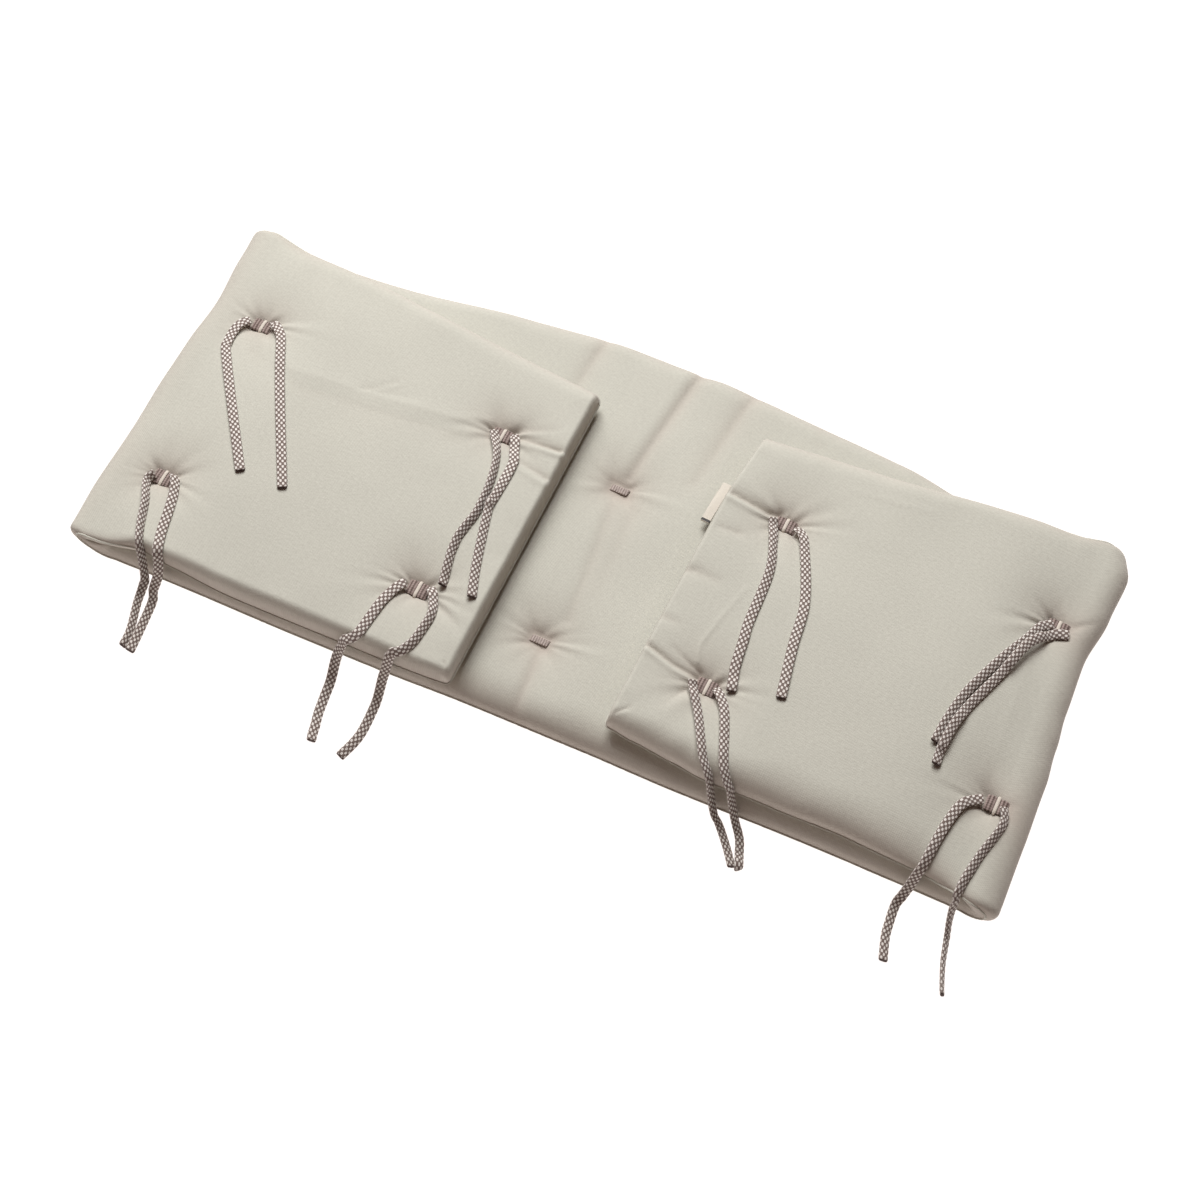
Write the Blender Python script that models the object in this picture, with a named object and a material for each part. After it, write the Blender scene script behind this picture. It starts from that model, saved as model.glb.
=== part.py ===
"""Crib bumper: one long filled pad with both ends folded in onto its middle, eight ties and two tufts.

The pad is described flat first, as it is sewn: a coordinate u runs along it from the middle tuft column,
y runs across it from the near edge (straight) to the far edge (arched), and a half thickness on each side
says how full it is. fold() then lays that flat pad down: the middle lies on the surface, and each end goes
round a soft bend and back over the middle. Everything is in metres, +Z up, X along the folded pad, and the
last step centres the pad over the origin with its underside on z = 0.
"""

import bpy
import bmesh
import numpy as np
from mathutils import Matrix, Vector
from mathutils.bvhtree import BVHTree

MM = 0.001

# ---------------------------------------------------------------- driving dimensions
CENTRE_WIDTH = 390 * MM        # across the pad at its middle, edge seam to edge seam
LEFT_LENGTH = 781.5 * MM       # flat, from the tuft column to the left free end
RIGHT_LENGTH = 772 * MM        # flat, from the tuft column to the right free end
PAD_THICK = 27 * MM            # one filled layer
LAYER_GAP = 1.5 * MM           # air between the two layers where an end is folded over
BASE_LEFT = 396 * MM           # middle part that lies flat, from the tuft column to each bend
BASE_RIGHT = 411 * MM
LEFT_TURN = -0.85              # degrees each folded end is askew; + swings its free end to the far side
RIGHT_TURN = 2.5

MIDDLE = (9.85 * MM, 189.79 * MM)    # middle of the folded pad, from the tuft column and the near edge

# ---------------------------------------------------------------- outline and fullness
FAR_SLOPE = 0.105              # the far edge falls by this much per metre beyond the arch
FAR_ROUND = 80 * MM            # how round the top of the arch is
NEAR_RISE = 11 * MM            # the near edge comes in by this at the free ends
NEAR_RISE_FROM = 450 * MM
FOLD_FLARE = (5 * MM, 7 * MM)  # both edges stand out where the pad bends round, left and right
FOLD_FLARE_REACH = 34 * MM
EDGE_SHOULDER = 19 * MM        # width over which the pad thins down to its edge seam
BEND_SHOULDER = 12 * MM        # the same where the pad bends round, with its corners pushed out
END_SHOULDER = 16 * MM         # the same at the boxed free ends
SHOULDER_POWER = 2.3           # 2 is an elliptical shoulder, more is blunter
CORNER_ROUND = 7 * MM
CROWN = 2.2 * MM               # extra fullness in the middle of an upper face
TURN_PIVOT = 170 * MM          # a folded end turns about this point of its bend

# Waves of the near edge seam: distance along the pad, and how far the seam is drawn in (+) or pushed out (-).
NEAR_WAVE = {
    "along": (-0.78, -0.46, -0.40, -0.32, -0.20, -0.12, -0.04, 0.07, 0.15, 0.27, 0.38, 0.43, 0.78),
    "in_mm": (0.0, -2.0, 2.0, 0.0, -1.5, -1.5, 0.0, -0.5, -2.0, -1.0, -2.5, 0.0, 0.0),
}
# Waves of the far edge seam, + outwards.
FAR_WAVE = {
    "along": (-0.78, -0.56, -0.44, -0.36, -0.26, -0.15, -0.07, 0.02, 0.05, 0.12, 0.23, 0.31, 0.36, 0.44, 0.52,
              0.66, 0.78),
    "out_mm": (0.0, 0.5, -3.5, -4.0, -7.5, -3.0, -1.5, -4.0, -2.0, -3.0, -2.5, -10.0, -7.0, -2.0, 4.0, 0.0, 0.0),
}
# Unevenness of the two bends: height across the pad, and how far the bend stands out there.
LEFT_BOW = {
    "across": (0.0, 0.05, 0.115, 0.17, 0.215, 0.265, 0.32, 0.36),
    "out_mm": (-2.5, -0.5, -1.8, -0.5, -1.0, -4.0, 0.0, 1.5),
}
RIGHT_BOW = {
    "across": (0.0, 0.06, 0.12, 0.155, 0.19, 0.24, 0.29, 0.33, 0.36),
    "out_mm": (5.5, 4.5, 3.0, 0.0, -3.0, -4.5, 1.0, 1.5, -5.0),
}
BOW_REACH = 70 * MM

# ---------------------------------------------------------------- ties and tufts
# Columns of stitches, as u: left inner ties, left outer ties, tufts, right outer ties, right inner ties. Each has
# one place in the near row and one in the far row, as y, and the far one is LEAN further along than the middle.
COLUMNS = (-726.5 * MM, -471.6 * MM, 0.2 * MM, 461.4 * MM, 713.9 * MM)
NEAR_ROW = (69.2 * MM, 76.2 * MM, 75.5 * MM, 79.3 * MM, 69.0 * MM)
FAR_ROW = (238.9 * MM, 254.2 * MM, 241.0 * MM, 256.1 * MM, 241.3 * MM)
LEAN = (0.4 * MM, -0.5 * MM, 1.9 * MM, 2.6 * MM, 1.6 * MM)
COLUMN_NAMES = ("left_inner", "left_outer", "tuft", "right_outer", "right_inner")
TIE_DEPTH = 8.5 * MM           # how far a tie pulls the cloth down
TUFT_DEPTH = 7.5 * MM
DIMPLE_REACH = 15 * MM
DIMPLE_POWER = 1.25
TAPE_SIZE = (19 * MM, 9.5 * MM, 1.6 * MM)
TUFT_SIZE = (19 * MM, 8 * MM, 1.6 * MM)
BAR_SIZE = (3 * MM, 11 * MM, 1.0 * MM)
CORD_SIZE = (9.4 * MM, 3.6 * MM)                  # the flat braid, across and thick
LABEL_SIZE = (11 * MM, 40 * MM, 0.8 * MM)
LABEL_AT = (90.5 * MM, 252 * MM, 42 * MM)         # middle of its sewn edge
LABEL_TILT = 28                                   # degrees it stands up from the flat
TAPE_EDGE = 0.4 * MM
CLEARANCE = 0.3 * MM           # between pieces that touch on the real thing

# Where the two cord ends of each tie lie, seen from above: x and y in millimetres from the tuft column and
# the near edge. Each starts at its end of the tape; the height comes from what the cord lies on.
CORD_ROUTES = {
    "left_outer_far_a": (
        (-373.5, 253.5), (-378.5, 248.5), (-381, 240), (-381, 230), (-379, 220), (-373, 207.5),
        (-301.5, 102)),
    "left_outer_far_b": (
        (-353, 254.5), (-348.5, 256), (-341.5, 250), (-334.5, 241), (-310.5, 194),
        (-268, 116.5), (-260, 101.5)),
    "left_outer_near_a": (
        (-374, 74.5), (-377, 69.5), (-375.5, 62.5), (-366.5, 46.5), (-359, 26.5), (-354.5, 16),
        (-344, -7), (-344, -12), (-344.5, -17.5), (-343.5, -26), (-335.5, -53.5),
        (-334, -69.5)),
    "left_outer_near_b": (
        (-357, 78.5), (-352.5, 74.5), (-346, 60), (-341, 42.5), (-337, 24), (-330.5, 4),
        (-329.5, -4.5), (-333, -13), (-331.5, -18.5), (-331, -25), (-328, -51.5),
        (-326.5, -71)),
    "left_inner_far_a": (
        (-118, 234.5), (-105.5, 213.5), (-99.5, 196.5), (-95.5, 173.5), (-94.5, 148),
        (-97, 133), (-98, 126), (-99, 119.5), (-98.5, 111), (-98, 104), (-92, 73)),
    "left_inner_far_b": (
        (-100, 237), (-97, 233.5), (-94, 226), (-90.5, 217), (-87, 207.5), (-86.5, 181.5),
        (-87, 164), (-87, 157), (-73.5, 103), (-63.5, 72)),
    "left_inner_near_a": (
        (-122.5, 64.5), (-126.5, 59), (-132, 41.5), (-134.5, 22.5), (-137, 3.5),
        (-141.5, -2.5), (-148, -5), (-154.5, -16), (-151, -52.5), (-147.5, -68), (-146, -76),
        (-144, -82.5)),
    "left_inner_near_b": (
        (-101, 68), (-96.5, 64), (-89.5, 49.5), (-88, 41), (-88.5, 32.5), (-90.5, 16),
        (-93.5, 8), (-97.5, 1.5), (-103, -1), (-107.5, -9), (-109.5, -20), (-108.5, -59.5),
        (-115.5, -85.5)),
    "right_inner_far_a": (
        (142.5, 252), (150.5, 230.5), (159.5, 198), (161, 147), (163, 130), (165.5, 105),
        (167.5, 96.5), (171, 82)),
    "right_inner_far_b": (
        (164, 250.5), (168.5, 249), (172.5, 244.5), (176.5, 238), (197.5, 184), (203.5, 139.5),
        (211.5, 91.5)),
    "right_inner_near_a": (
        (137.5, 79.5), (139.5, 74.5), (151.5, 55), (155, 49), (169.5, 21), (173, 15.5),
        (176.5, 12), (185.5, 3), (195.5, -7.5), (202, -12), (216, -29), (225.5, -42.5)),
    "right_inner_near_b": (
        (158, 80.5), (162, 77.5), (171, 65.5), (177.5, 50.5), (188.5, 21), (192.5, 14),
        (195.5, 10), (199, 6.5), (203.5, 3.5), (217.5, -10), (221.5, -15.5), (224, -20.5),
        (231.5, -42)),
    "right_outer_far_a": (
        (399, 256), (394, 252.5), (389.5, 248), (382, 229.5), (369, 202.5), (356, 171.5),
        (349.5, 152), (345, 131), (343.5, 120.5), (342, 106)),
    "right_outer_far_b": (
        (414.5, 251.5), (408, 249.5), (402, 246.5), (391, 234), (383, 220), (373, 190),
        (359, 153), (353, 133), (351, 123), (349, 103.5), (349.5, 88)),
    "right_outer_near_a": (
        (396, 79.5), (390, 76.5), (380, 65), (373.5, 37), (370, 7.5), (368.5, 1.5),
        (363.5, -11.5), (361, -19), (362, -41), (363.5, -50), (368, -67)),
    "right_outer_near_b": (
        (413.5, 78.5), (417.5, 65), (409.5, 34), (406, 17.5), (404, 6.5), (403, -5.5),
        (404, -8), (404.5, -13), (406, -18.5), (409, -28), (413, -48.5), (419, -68.5),
        (421.5, -75)),
}
CORD_STEP = 8 * MM             # between the points of a cord's spline
CORD_HANG = 9 * MM             # radius to which a cord curls up where it hangs off an edge

# Soft valleys in the upper faces. Where: "middle" is the base between the ends, "left" and "right" the folded
# ends. A valley runs from one point to the other (u and y of the flat pad), this deep and this wide.
VALLEYS = (
    # face, (u, y) start, (u, y) end, depth, half width, all in millimetres
    ("middle", (0, 0), (0, 76), 2.6, 11),
    ("middle", (0, 76), (0, 242), 1.8, 12),
    ("middle", (0, 242), (24, 392), 3.0, 12),
    ("middle", (-78, 392), (-62, 260), 2.2, 12),
    ("middle", (72, 392), (62, 250), 1.8, 12),
    ("left", (-724, 244), (-782, 236), 3.0, 9),
    ("left", (-724, 71), (-724, 4), 1.8, 10),
    ("right", (715, 244), (772, 262), 3.0, 9),
    ("right", (715, 71), (772, 110), 3.2, 9),
)

# ---------------------------------------------------------------- how finely the pad is divided
LONGEST_STEP = 44 * MM
TIE_STEPS = (0 * MM, 10.5 * MM, 24 * MM, 44 * MM)
END_STEPS = (0 * MM, 2 * MM, 6 * MM, 12 * MM, 20 * MM)
BEND_LINES = 7
NEAR_LINE, FAR_LINE = 0.22, 0.72
ACROSS_LINES = (0.0, 0.006, 0.018, 0.036, 0.062, 0.105, 0.155, 0.192, 0.22, 0.248, 0.288, 0.345, 0.42, 0.50,
                0.58, 0.645, 0.69, 0.72, 0.75, 0.80, 0.86, 0.915, 0.945, 0.966, 0.983, 0.994, 1.0)


# ---------------------------------------------------------------- the flat pad
def wave(table, key, at):
    """A smooth run through a short table of offsets in millimetres."""
    first = table["along"] if "along" in table else table["across"]
    knots, values = np.array(first), np.array(table[key]) * MM
    spot = np.clip(at, knots[0], knots[-1])
    i = np.clip(np.searchsorted(knots, spot, side="right") - 1, 0, len(knots) - 2)
    part = (spot - knots[i]) / (knots[i + 1] - knots[i])
    return values[i] + (values[i + 1] - values[i]) * part * part * (3 - 2 * part)


def side_of(u):
    """The lengths that belong to each side of the tuft column: free end, flat base and turn."""
    right = u > 0
    return (np.where(right, RIGHT_LENGTH, LEFT_LENGTH), np.where(right, BASE_RIGHT, BASE_LEFT),
            np.radians(np.where(right, RIGHT_TURN, LEFT_TURN)))


BEND_RADIUS = (PAD_THICK + LAYER_GAP) / 2
BEND_LENGTH = np.pi * BEND_RADIUS


def at_bend(u):
    """1 on the upper half of the bends, where the corners stand out, and 0 away from them."""
    _, base, _ = side_of(u)
    away = (np.abs(u) - base - BEND_LENGTH * 0.6) / FOLD_FLARE_REACH
    return np.exp(-away * away)


def flare(u):
    """How far the edges stand out near the bends."""
    return np.where(u > 0, FOLD_FLARE[1], FOLD_FLARE[0]) * at_bend(u)


def near_edge(u):
    rise = np.clip((np.abs(u) - NEAR_RISE_FROM) / (RIGHT_LENGTH - NEAR_RISE_FROM), 0, 1)
    return NEAR_RISE * rise ** 2 + wave(NEAR_WAVE, "in_mm", u) - flare(u)


def far_edge(u):
    fall = np.hypot(u, FAR_ROUND) - FAR_ROUND
    return CENTRE_WIDTH - FAR_SLOPE * fall + wave(FAR_WAVE, "out_mm", u) + flare(u)


def rows(u):
    """The y of the near and the far row of stitches at a place along the pad."""
    return np.interp(u, COLUMNS, NEAR_ROW), np.interp(u, COLUMNS, FAR_ROW)


def stitches(column):
    """Names and (u, y) of the two places where one column is stitched, near and far."""
    i = COLUMN_NAMES.index(column)
    return (("near", COLUMNS[i] - LEAN[i], NEAR_ROW[i]), ("far", COLUMNS[i] + LEAN[i], FAR_ROW[i]))


def corner_cut(u):
    """The free ends' corners are round: how much shorter the end seam is there."""
    left_over = np.clip((side_of(u)[0] - np.abs(u)) / CORNER_ROUND, 0, 1)
    return CORNER_ROUND * (1 - np.sqrt(1 - (1 - left_over) ** 2))


def across(u, line):
    """y for a line number from 0 (near seam) to 1 (far seam); the lines bunch up at the rows of stitches."""
    near, far = near_edge(u) + corner_cut(u), far_edge(u) - corner_cut(u)
    near_row, far_row = rows(u)
    first = near + (near_row - near) * line / NEAR_LINE
    middle = near_row + (far_row - near_row) * (line - NEAR_LINE) / (FAR_LINE - NEAR_LINE)
    last = far_row + (far - far_row) * (line - FAR_LINE) / (1 - FAR_LINE)
    return np.where(line < NEAR_LINE, first, np.where(line < FAR_LINE, middle, last))


def shoulder(distance, reach):
    """1 inside the pad, falling round to 0 at a seam."""
    inside = 1 - np.clip(distance / reach, 0, 1)
    return (1 - inside ** SHOULDER_POWER) ** (1 / SHOULDER_POWER)


def fullness(u, y):
    """Share of the full thickness that the shoulders leave."""
    near, far = near_edge(u) + corner_cut(u), far_edge(u) - corner_cut(u)
    to_side = np.minimum(y - near, far - y)
    reach = EDGE_SHOULDER + (BEND_SHOULDER - EDGE_SHOULDER) * at_bend(u)
    return shoulder(to_side, reach) * shoulder(side_of(u)[0] - np.abs(u), END_SHOULDER)


def segment_distance(u, y, start, end):
    """Distance from a straight piece of line, and how far along it the closest point is, from 0 to 1."""
    run = np.subtract(end, start)
    part = np.clip(((u - start[0]) * run[0] + (y - start[1]) * run[1]) / (run @ run), 0, 1)
    return np.hypot(u - start[0] - part * run[0], y - start[1] - part * run[1]), part


def dimple(u, y, column, row, depth):
    """The hollow round one row of stitches: flat under the tape, then rising quickly to the pad."""
    half = TAPE_SIZE[0] / 2 - 2 * MM
    distance, _ = segment_distance(u, y, (column - half, row), (column + half, row))
    away = np.clip(distance - TAPE_SIZE[1] / 2, 0, None) / DIMPLE_REACH
    return depth * np.exp(-away ** DIMPLE_POWER)


def valley(u, y, start, end, depth, half_width):
    """A soft trough that is deepest at its start."""
    distance, part = segment_distance(u, y, start, end)
    return depth * (1 - 0.35 * part) * np.exp(-(distance / half_width) ** 2)


def valleys_on(face, u, y):
    """All the soft troughs of one face."""
    return sum(valley(u, y, np.multiply(a, MM), np.multiply(b, MM), depth * MM, half * MM)
               for where, a, b, depth, half in VALLEYS if where == face)


def crown_at(u, y):
    middle = (near_edge(u) + far_edge(u)) / 2
    half = (far_edge(u) - near_edge(u)) / 2
    return CROWN * np.clip(1 - ((y - middle) / half) ** 2, 0, 1)


def outer_half(u, y):
    """Half thickness on the side that is the underside in the middle and the top of the folded ends."""
    full = fullness(u, y)
    half = PAD_THICK / 2 * full
    _, base, _ = side_of(u)
    on_top = np.clip((np.abs(u) - base - BEND_LENGTH * 0.75) / (30 * MM), 0, 1)
    pulled = sum(dimple(u, y, along, row, TIE_DEPTH)
                 for column in COLUMN_NAMES if column != "tuft" for _, along, row in stitches(column))
    troughs = np.where(u > 0, valleys_on("right", u, y), valleys_on("left", u, y))
    return half + on_top * full * (crown_at(u, y) - pulled - troughs)


def inner_half(u, y):
    """Half thickness on the side that is the top in the middle and the underside of the folded ends."""
    full = fullness(u, y)
    half = PAD_THICK / 2 * full
    shown = np.clip((95 * MM - np.abs(u - 17 * MM)) / (35 * MM), 0, 1)
    pulled = sum(dimple(u, y, along, row, TUFT_DEPTH) for _, along, row in stitches("tuft"))
    return half + shown * full * (crown_at(u, y) - pulled - valleys_on("middle", u, y))


# ---------------------------------------------------------------- the fold
def fold(u, y, lift):
    """Where a point of the flat pad ends up; lift is its height over the mid-surface, + towards the inner side."""
    _, base, turn = side_of(u)
    beyond = np.abs(u) - base
    angle = np.clip(beyond / BEND_RADIUS, 0, np.pi)
    out = np.minimum(np.abs(u), base) + BEND_RADIUS * np.sin(angle) - np.clip(beyond - BEND_LENGTH, 0, None)
    z = PAD_THICK / 2 + BEND_RADIUS * (1 - np.cos(angle))
    out, z = out - lift * np.sin(angle), z + lift * np.cos(angle)
    share = angle / np.pi
    swing = turn * share * share * (3 - 2 * share)
    x_from, y_from = out - base, y - TURN_PIVOT
    out = base + x_from * np.cos(swing) + y_from * np.sin(swing)
    y_new = TURN_PIVOT + y_from * np.cos(swing) - x_from * np.sin(swing)
    bow = np.where(u > 0, wave(RIGHT_BOW, "out_mm", y), wave(LEFT_BOW, "out_mm", y))
    reach = (beyond - BEND_LENGTH / 2) / BOW_REACH
    out = out + bow * np.exp(-reach * reach)
    return np.stack([np.sign(u) * out, y_new, z], axis=-1)


def stations():
    """The lines across the pad: close together at stitches, bends and ends, and never too far apart."""
    wanted = []
    for side, length, base in ((-1, LEFT_LENGTH, BASE_LEFT), (1, RIGHT_LENGTH, BASE_RIGHT)):
        wanted += [side * (length - step) for step in END_STEPS]
        wanted += [side * (base + BEND_LENGTH * i / (BEND_LINES - 1)) for i in range(BEND_LINES)]
        wanted += [side * (base - 24 * MM), side * (base + BEND_LENGTH + 18 * MM)]
    for column in COLUMNS:
        wanted += [column + sign * step for step in TIE_STEPS for sign in (-1, 1)]
    wanted = np.array(sorted(u for u in wanted if -LEFT_LENGTH <= u <= RIGHT_LENGTH))
    keep = np.r_[True, np.diff(wanted) > 0.5 * MM]
    wanted = wanted[keep]
    lines = []
    for a, b in zip(wanted[:-1], wanted[1:]):
        parts = int(np.ceil((b - a) / LONGEST_STEP))
        lines += list(a + (b - a) * np.arange(parts) / parts)
    return np.array(lines + [wanted[-1]])


# ---------------------------------------------------------------- Blender helpers
def cloth_material(name, colour, roughness):
    """A plain material of the part's own colour."""
    material = bpy.data.materials.new(name)
    material.use_nodes = True
    surface = material.node_tree.nodes["Principled BSDF"]
    surface.inputs["Base Color"].default_value = (*colour, 1.0)
    surface.inputs["Roughness"].default_value = roughness
    surface.inputs["Metallic"].default_value = 0.0
    return material


def add_object(name, data, material):
    """Link a mesh or curve as an object with one material."""
    thing = bpy.data.objects.new(name, data)
    thing.data.materials.append(material)
    bpy.context.scene.collection.objects.link(thing)
    return thing


def centred(points):
    """From the pad's own corner of reckoning to the part's origin, under the middle of the folded pad."""
    return np.asarray(points, float) - np.array([MIDDLE[0], MIDDLE[1], 0.0])


class Ground:
    """Everything that is already laid down, to find how high the next piece lies."""

    def __init__(self):
        self.trees = []

    def add(self, thing):
        """Remember an object's evaluated mesh, in world coordinates."""
        bpy.context.view_layer.update()
        solid = thing.evaluated_get(bpy.context.evaluated_depsgraph_get())
        mesh = solid.to_mesh()
        mesh.calc_loop_triangles()
        corners = [thing.matrix_world @ v.co for v in mesh.vertices]
        self.trees.append(BVHTree.FromPolygons(corners, [tuple(t.vertices) for t in mesh.loop_triangles]))
        solid.to_mesh_clear()

    def height(self, x, y):
        """Height of the highest thing at a place, or of the surface that all lies on."""
        hits = [tree.ray_cast(Vector((x, y, 1.0)), Vector((0, 0, -1)))[0] for tree in self.trees]
        return max([0.0] + [hit.z for hit in hits if hit is not None])

    def over(self, x, y, reach, direction=(1.0, 0.0)):
        """The highest point under a small rectangle: reach is its half length and half width."""
        along, side = np.array(direction), np.array([-direction[1], direction[0]])
        spots = [np.array([x, y]) + along * reach[0] * i + side * reach[1] * j
                 for i in (-1, -0.5, 0, 0.5, 1) for j in (-1, -0.5, 0, 0.5, 1)]
        return max(self.height(*spot) for spot in spots)


# ---------------------------------------------------------------- the pieces
def make_pad(material):
    """Two cloths cut from one grid, set to the two faces of the folded pad and sewn along their rim."""
    u_lines = stations()
    u, line = np.meshgrid(u_lines, ACROSS_LINES, indexing="ij")
    y = across(u, line)
    rim = np.zeros(u.shape, bool)
    rim[[0, -1], :] = True
    rim[:, [0, -1]] = True
    inner = np.where(rim, 0.0, inner_half(u, y))
    outer = np.where(rim, 0.0, outer_half(u, y))
    faces = {"inner": centred(fold(u, y, inner)), "outer": centred(fold(u, y, -outer))}

    shape = bmesh.new()
    bmesh.ops.create_grid(shape, x_segments=len(ACROSS_LINES) - 1, y_segments=len(u_lines) - 1, size=1.0)
    copy = bmesh.ops.duplicate(shape, geom=shape.verts[:] + shape.edges[:] + shape.faces[:])
    under = {v for v in copy["geom"] if isinstance(v, bmesh.types.BMVert)}
    for v in shape.verts:
        i = round((v.co.y + 1) / 2 * (len(u_lines) - 1))
        j = round((v.co.x + 1) / 2 * (len(ACROSS_LINES) - 1))
        v.co = Vector(faces["outer" if v in under else "inner"][i, j])
    bmesh.ops.remove_doubles(shape, verts=shape.verts[:], dist=0.01 * MM)
    bmesh.ops.recalc_face_normals(shape, faces=shape.faces[:])
    bmesh.ops.triangulate(shape, faces=shape.faces[:])
    mesh = bpy.data.meshes.new("bumper_pad")
    shape.to_mesh(mesh)
    shape.free()
    mesh.shade_smooth()
    return add_object("bumper_pad", mesh, material)


def make_strip(name, size, material):
    """A short woven strip with softened edges, lying along X with its underside on its own origin."""
    shape = bmesh.new()
    lift = Matrix.Translation((0, 0, size[2] / 2))
    bmesh.ops.create_cube(shape, size=1.0, matrix=lift @ Matrix.Diagonal((*size, 1.0)))
    mesh = bpy.data.meshes.new(name)
    shape.to_mesh(mesh)
    shape.free()
    strip = add_object(name, mesh, material)
    softened = strip.modifiers.new("softened", "BEVEL")
    softened.width = TAPE_EDGE
    softened.segments = 1
    return strip


def lay_strip(ground, name, size, material, place, angle):
    """Put a strip down on what is below it."""
    along = (np.cos(angle), np.sin(angle))
    strip = make_strip(name, size, material)
    low = ground.over(place[0], place[1], (size[0] / 2, size[1] / 2), along)
    strip.location = (place[0], place[1], low + CLEARANCE)
    strip.rotation_euler = (0, 0, angle)
    ground.add(strip)
    return strip


def make_ties(ground, tape, thread):
    """The eight tapes that hold the ties, each with a cream bar of stitches across it."""
    for name in ("left_outer", "left_inner", "right_inner", "right_outer"):
        for row_name, along, row in stitches(name):
            angle = float(-np.sign(along) * side_of(np.array(along))[2])
            place = centred(fold(np.array(along), np.array(row), np.array(-PAD_THICK / 2)))
            lay_strip(ground, f"tie_tape_{name}_{row_name}", TAPE_SIZE, tape, place, angle)
            lay_strip(ground, f"tie_bar_{name}_{row_name}", BAR_SIZE, thread, place, angle)


def make_tufts(ground, tape):
    """The two tufting tapes in the middle of the pad."""
    for name, along, row in stitches("tuft"):
        place = centred(fold(np.array(along), np.array(row), np.array(PAD_THICK / 2)))
        lay_strip(ground, f"tuft_tape_{name}", TUFT_SIZE, tape, place, 0.0)


def smooth_route(points, step):
    """A smooth curve through the route's points, seen from above, at even steps."""
    knots = np.array(points, float) * MM
    knots = np.vstack([2 * knots[0] - knots[1], knots, 2 * knots[-1] - knots[-2]])
    part = np.linspace(0, 1, 24, endpoint=False)[:, None]
    runs = []
    for a, b, c, d in zip(knots[:-3], knots[1:-2], knots[2:-1], knots[3:]):
        runs.append(b + part * ((c - a) / 2 + part * ((a - 2.5 * b + 2 * c - 0.5 * d)
                                                      + part * (1.5 * b - 1.5 * c + 0.5 * d - 0.5 * a))))
    run = np.vstack(runs + [knots[-2:-1]])
    length = np.r_[0, np.cumsum(np.hypot(*np.diff(run, axis=0).T))]
    spots = np.linspace(0, length[-1], int(np.ceil(length[-1] / step)) + 1)
    return np.stack([np.interp(spots, length, run[:, k]) for k in (0, 1)], axis=-1)


def lay_cord(ground, points):
    """Lay a limp cord along a route: it rests on what is below it, and hangs in a curl where that falls away."""
    fine = smooth_route(points, CORD_STEP / 4) - np.array(MIDDLE)
    heading = np.gradient(fine, axis=0)
    heading /= np.hypot(heading[:, 0], heading[:, 1])[:, None]
    reach = (CORD_STEP * 0.4, CORD_SIZE[0] / 2 + CLEARANCE)
    rest = 2 * CLEARANCE + CORD_SIZE[1] / 2    # twice, because the runs between its points are straight
    floor = np.array([ground.over(x, y, reach, way) + rest for (x, y), way in zip(fine, heading)])
    step = np.hypot(*np.diff(fine, axis=0).T).mean()
    z = floor.copy()
    for _ in range(4000):
        hung = (z[:-2] + z[2:]) / 2 - step * step / (2 * CORD_HANG)
        z[1:-1] = np.maximum(floor[1:-1], hung)
    run = np.column_stack([fine, z])
    length = np.r_[0, np.cumsum(np.linalg.norm(np.diff(run, axis=0), axis=1))]
    spots = np.linspace(0, length[-1], int(round(length[-1] / CORD_STEP)) + 1)
    return np.stack([np.interp(spots, length, run[:, k]) for k in (0, 1, 2)], axis=-1)


def make_braid_profile():
    """The flat oval that every cord has in section."""
    outline = bpy.data.curves.new("braid_section", "CURVE")
    outline.dimensions = "2D"
    oval = outline.splines.new("POLY")
    oval.points.add(7)
    for point, turn in zip(oval.points, np.pi / 8 - np.arange(8) * np.pi / 4):
        widen = 1 / np.cos(np.pi / 8)
        point.co = (CORD_SIZE[0] / 2 * np.cos(turn), CORD_SIZE[1] / 2 * widen * np.sin(turn), 0, 1)
    oval.use_cyclic_u = True
    guide = bpy.data.objects.new("braid_section", outline)
    guide.hide_render = True
    guide.display_type = "WIRE"
    bpy.context.scene.collection.objects.link(guide)
    return guide


def make_cords(ground, braid):
    """The sixteen free cord ends, each laid over the ones before it."""
    profile = make_braid_profile()
    for name, points in CORD_ROUTES.items():
        run = lay_cord(ground, points)
        cord = bpy.data.curves.new(f"cord_{name}", "CURVE")
        cord.dimensions = "3D"
        cord.twist_mode = "Z_UP"
        cord.bevel_mode = "OBJECT"
        cord.bevel_object = profile
        cord.use_fill_caps = True
        cord.render_resolution_u = 0
        line = cord.splines.new("POLY")
        line.points.add(len(run) - 1)
        for point, spot in zip(line.points, run):
            point.co = (*spot, 1.0)
        ground.add(add_object(f"cord_{name}", cord, braid))


def make_label(material):
    """The folded woven label that stands out of the right free end's seam."""
    label = make_strip("side_label", LABEL_SIZE, material)
    turn = Matrix.Rotation(np.radians(-RIGHT_TURN), 4, "Z") @ Matrix.Rotation(np.radians(LABEL_TILT), 4, "Y")
    label.matrix_world = Matrix.Translation(centred(LABEL_AT)) @ turn @ Matrix.Translation((-LABEL_SIZE[0] / 2, 0, 0))
    return label


def main():
    for thing in list(bpy.data.objects):
        bpy.data.objects.remove(thing, do_unlink=True)
    cotton = cloth_material("stone_cotton", (0.63, 0.60, 0.53), 0.9)
    mauve = cloth_material("mauve_tape", (0.38, 0.28, 0.26), 0.85)
    cream = cloth_material("cream_thread", (0.76, 0.71, 0.65), 0.8)
    dotted = cloth_material("dotted_braid", (0.37, 0.30, 0.28), 0.85)
    ground = Ground()
    ground.add(make_pad(cotton))
    make_tufts(ground, mauve)
    make_ties(ground, mauve, cream)
    make_cords(ground, dotted)
    make_label(cream)


main()
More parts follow.
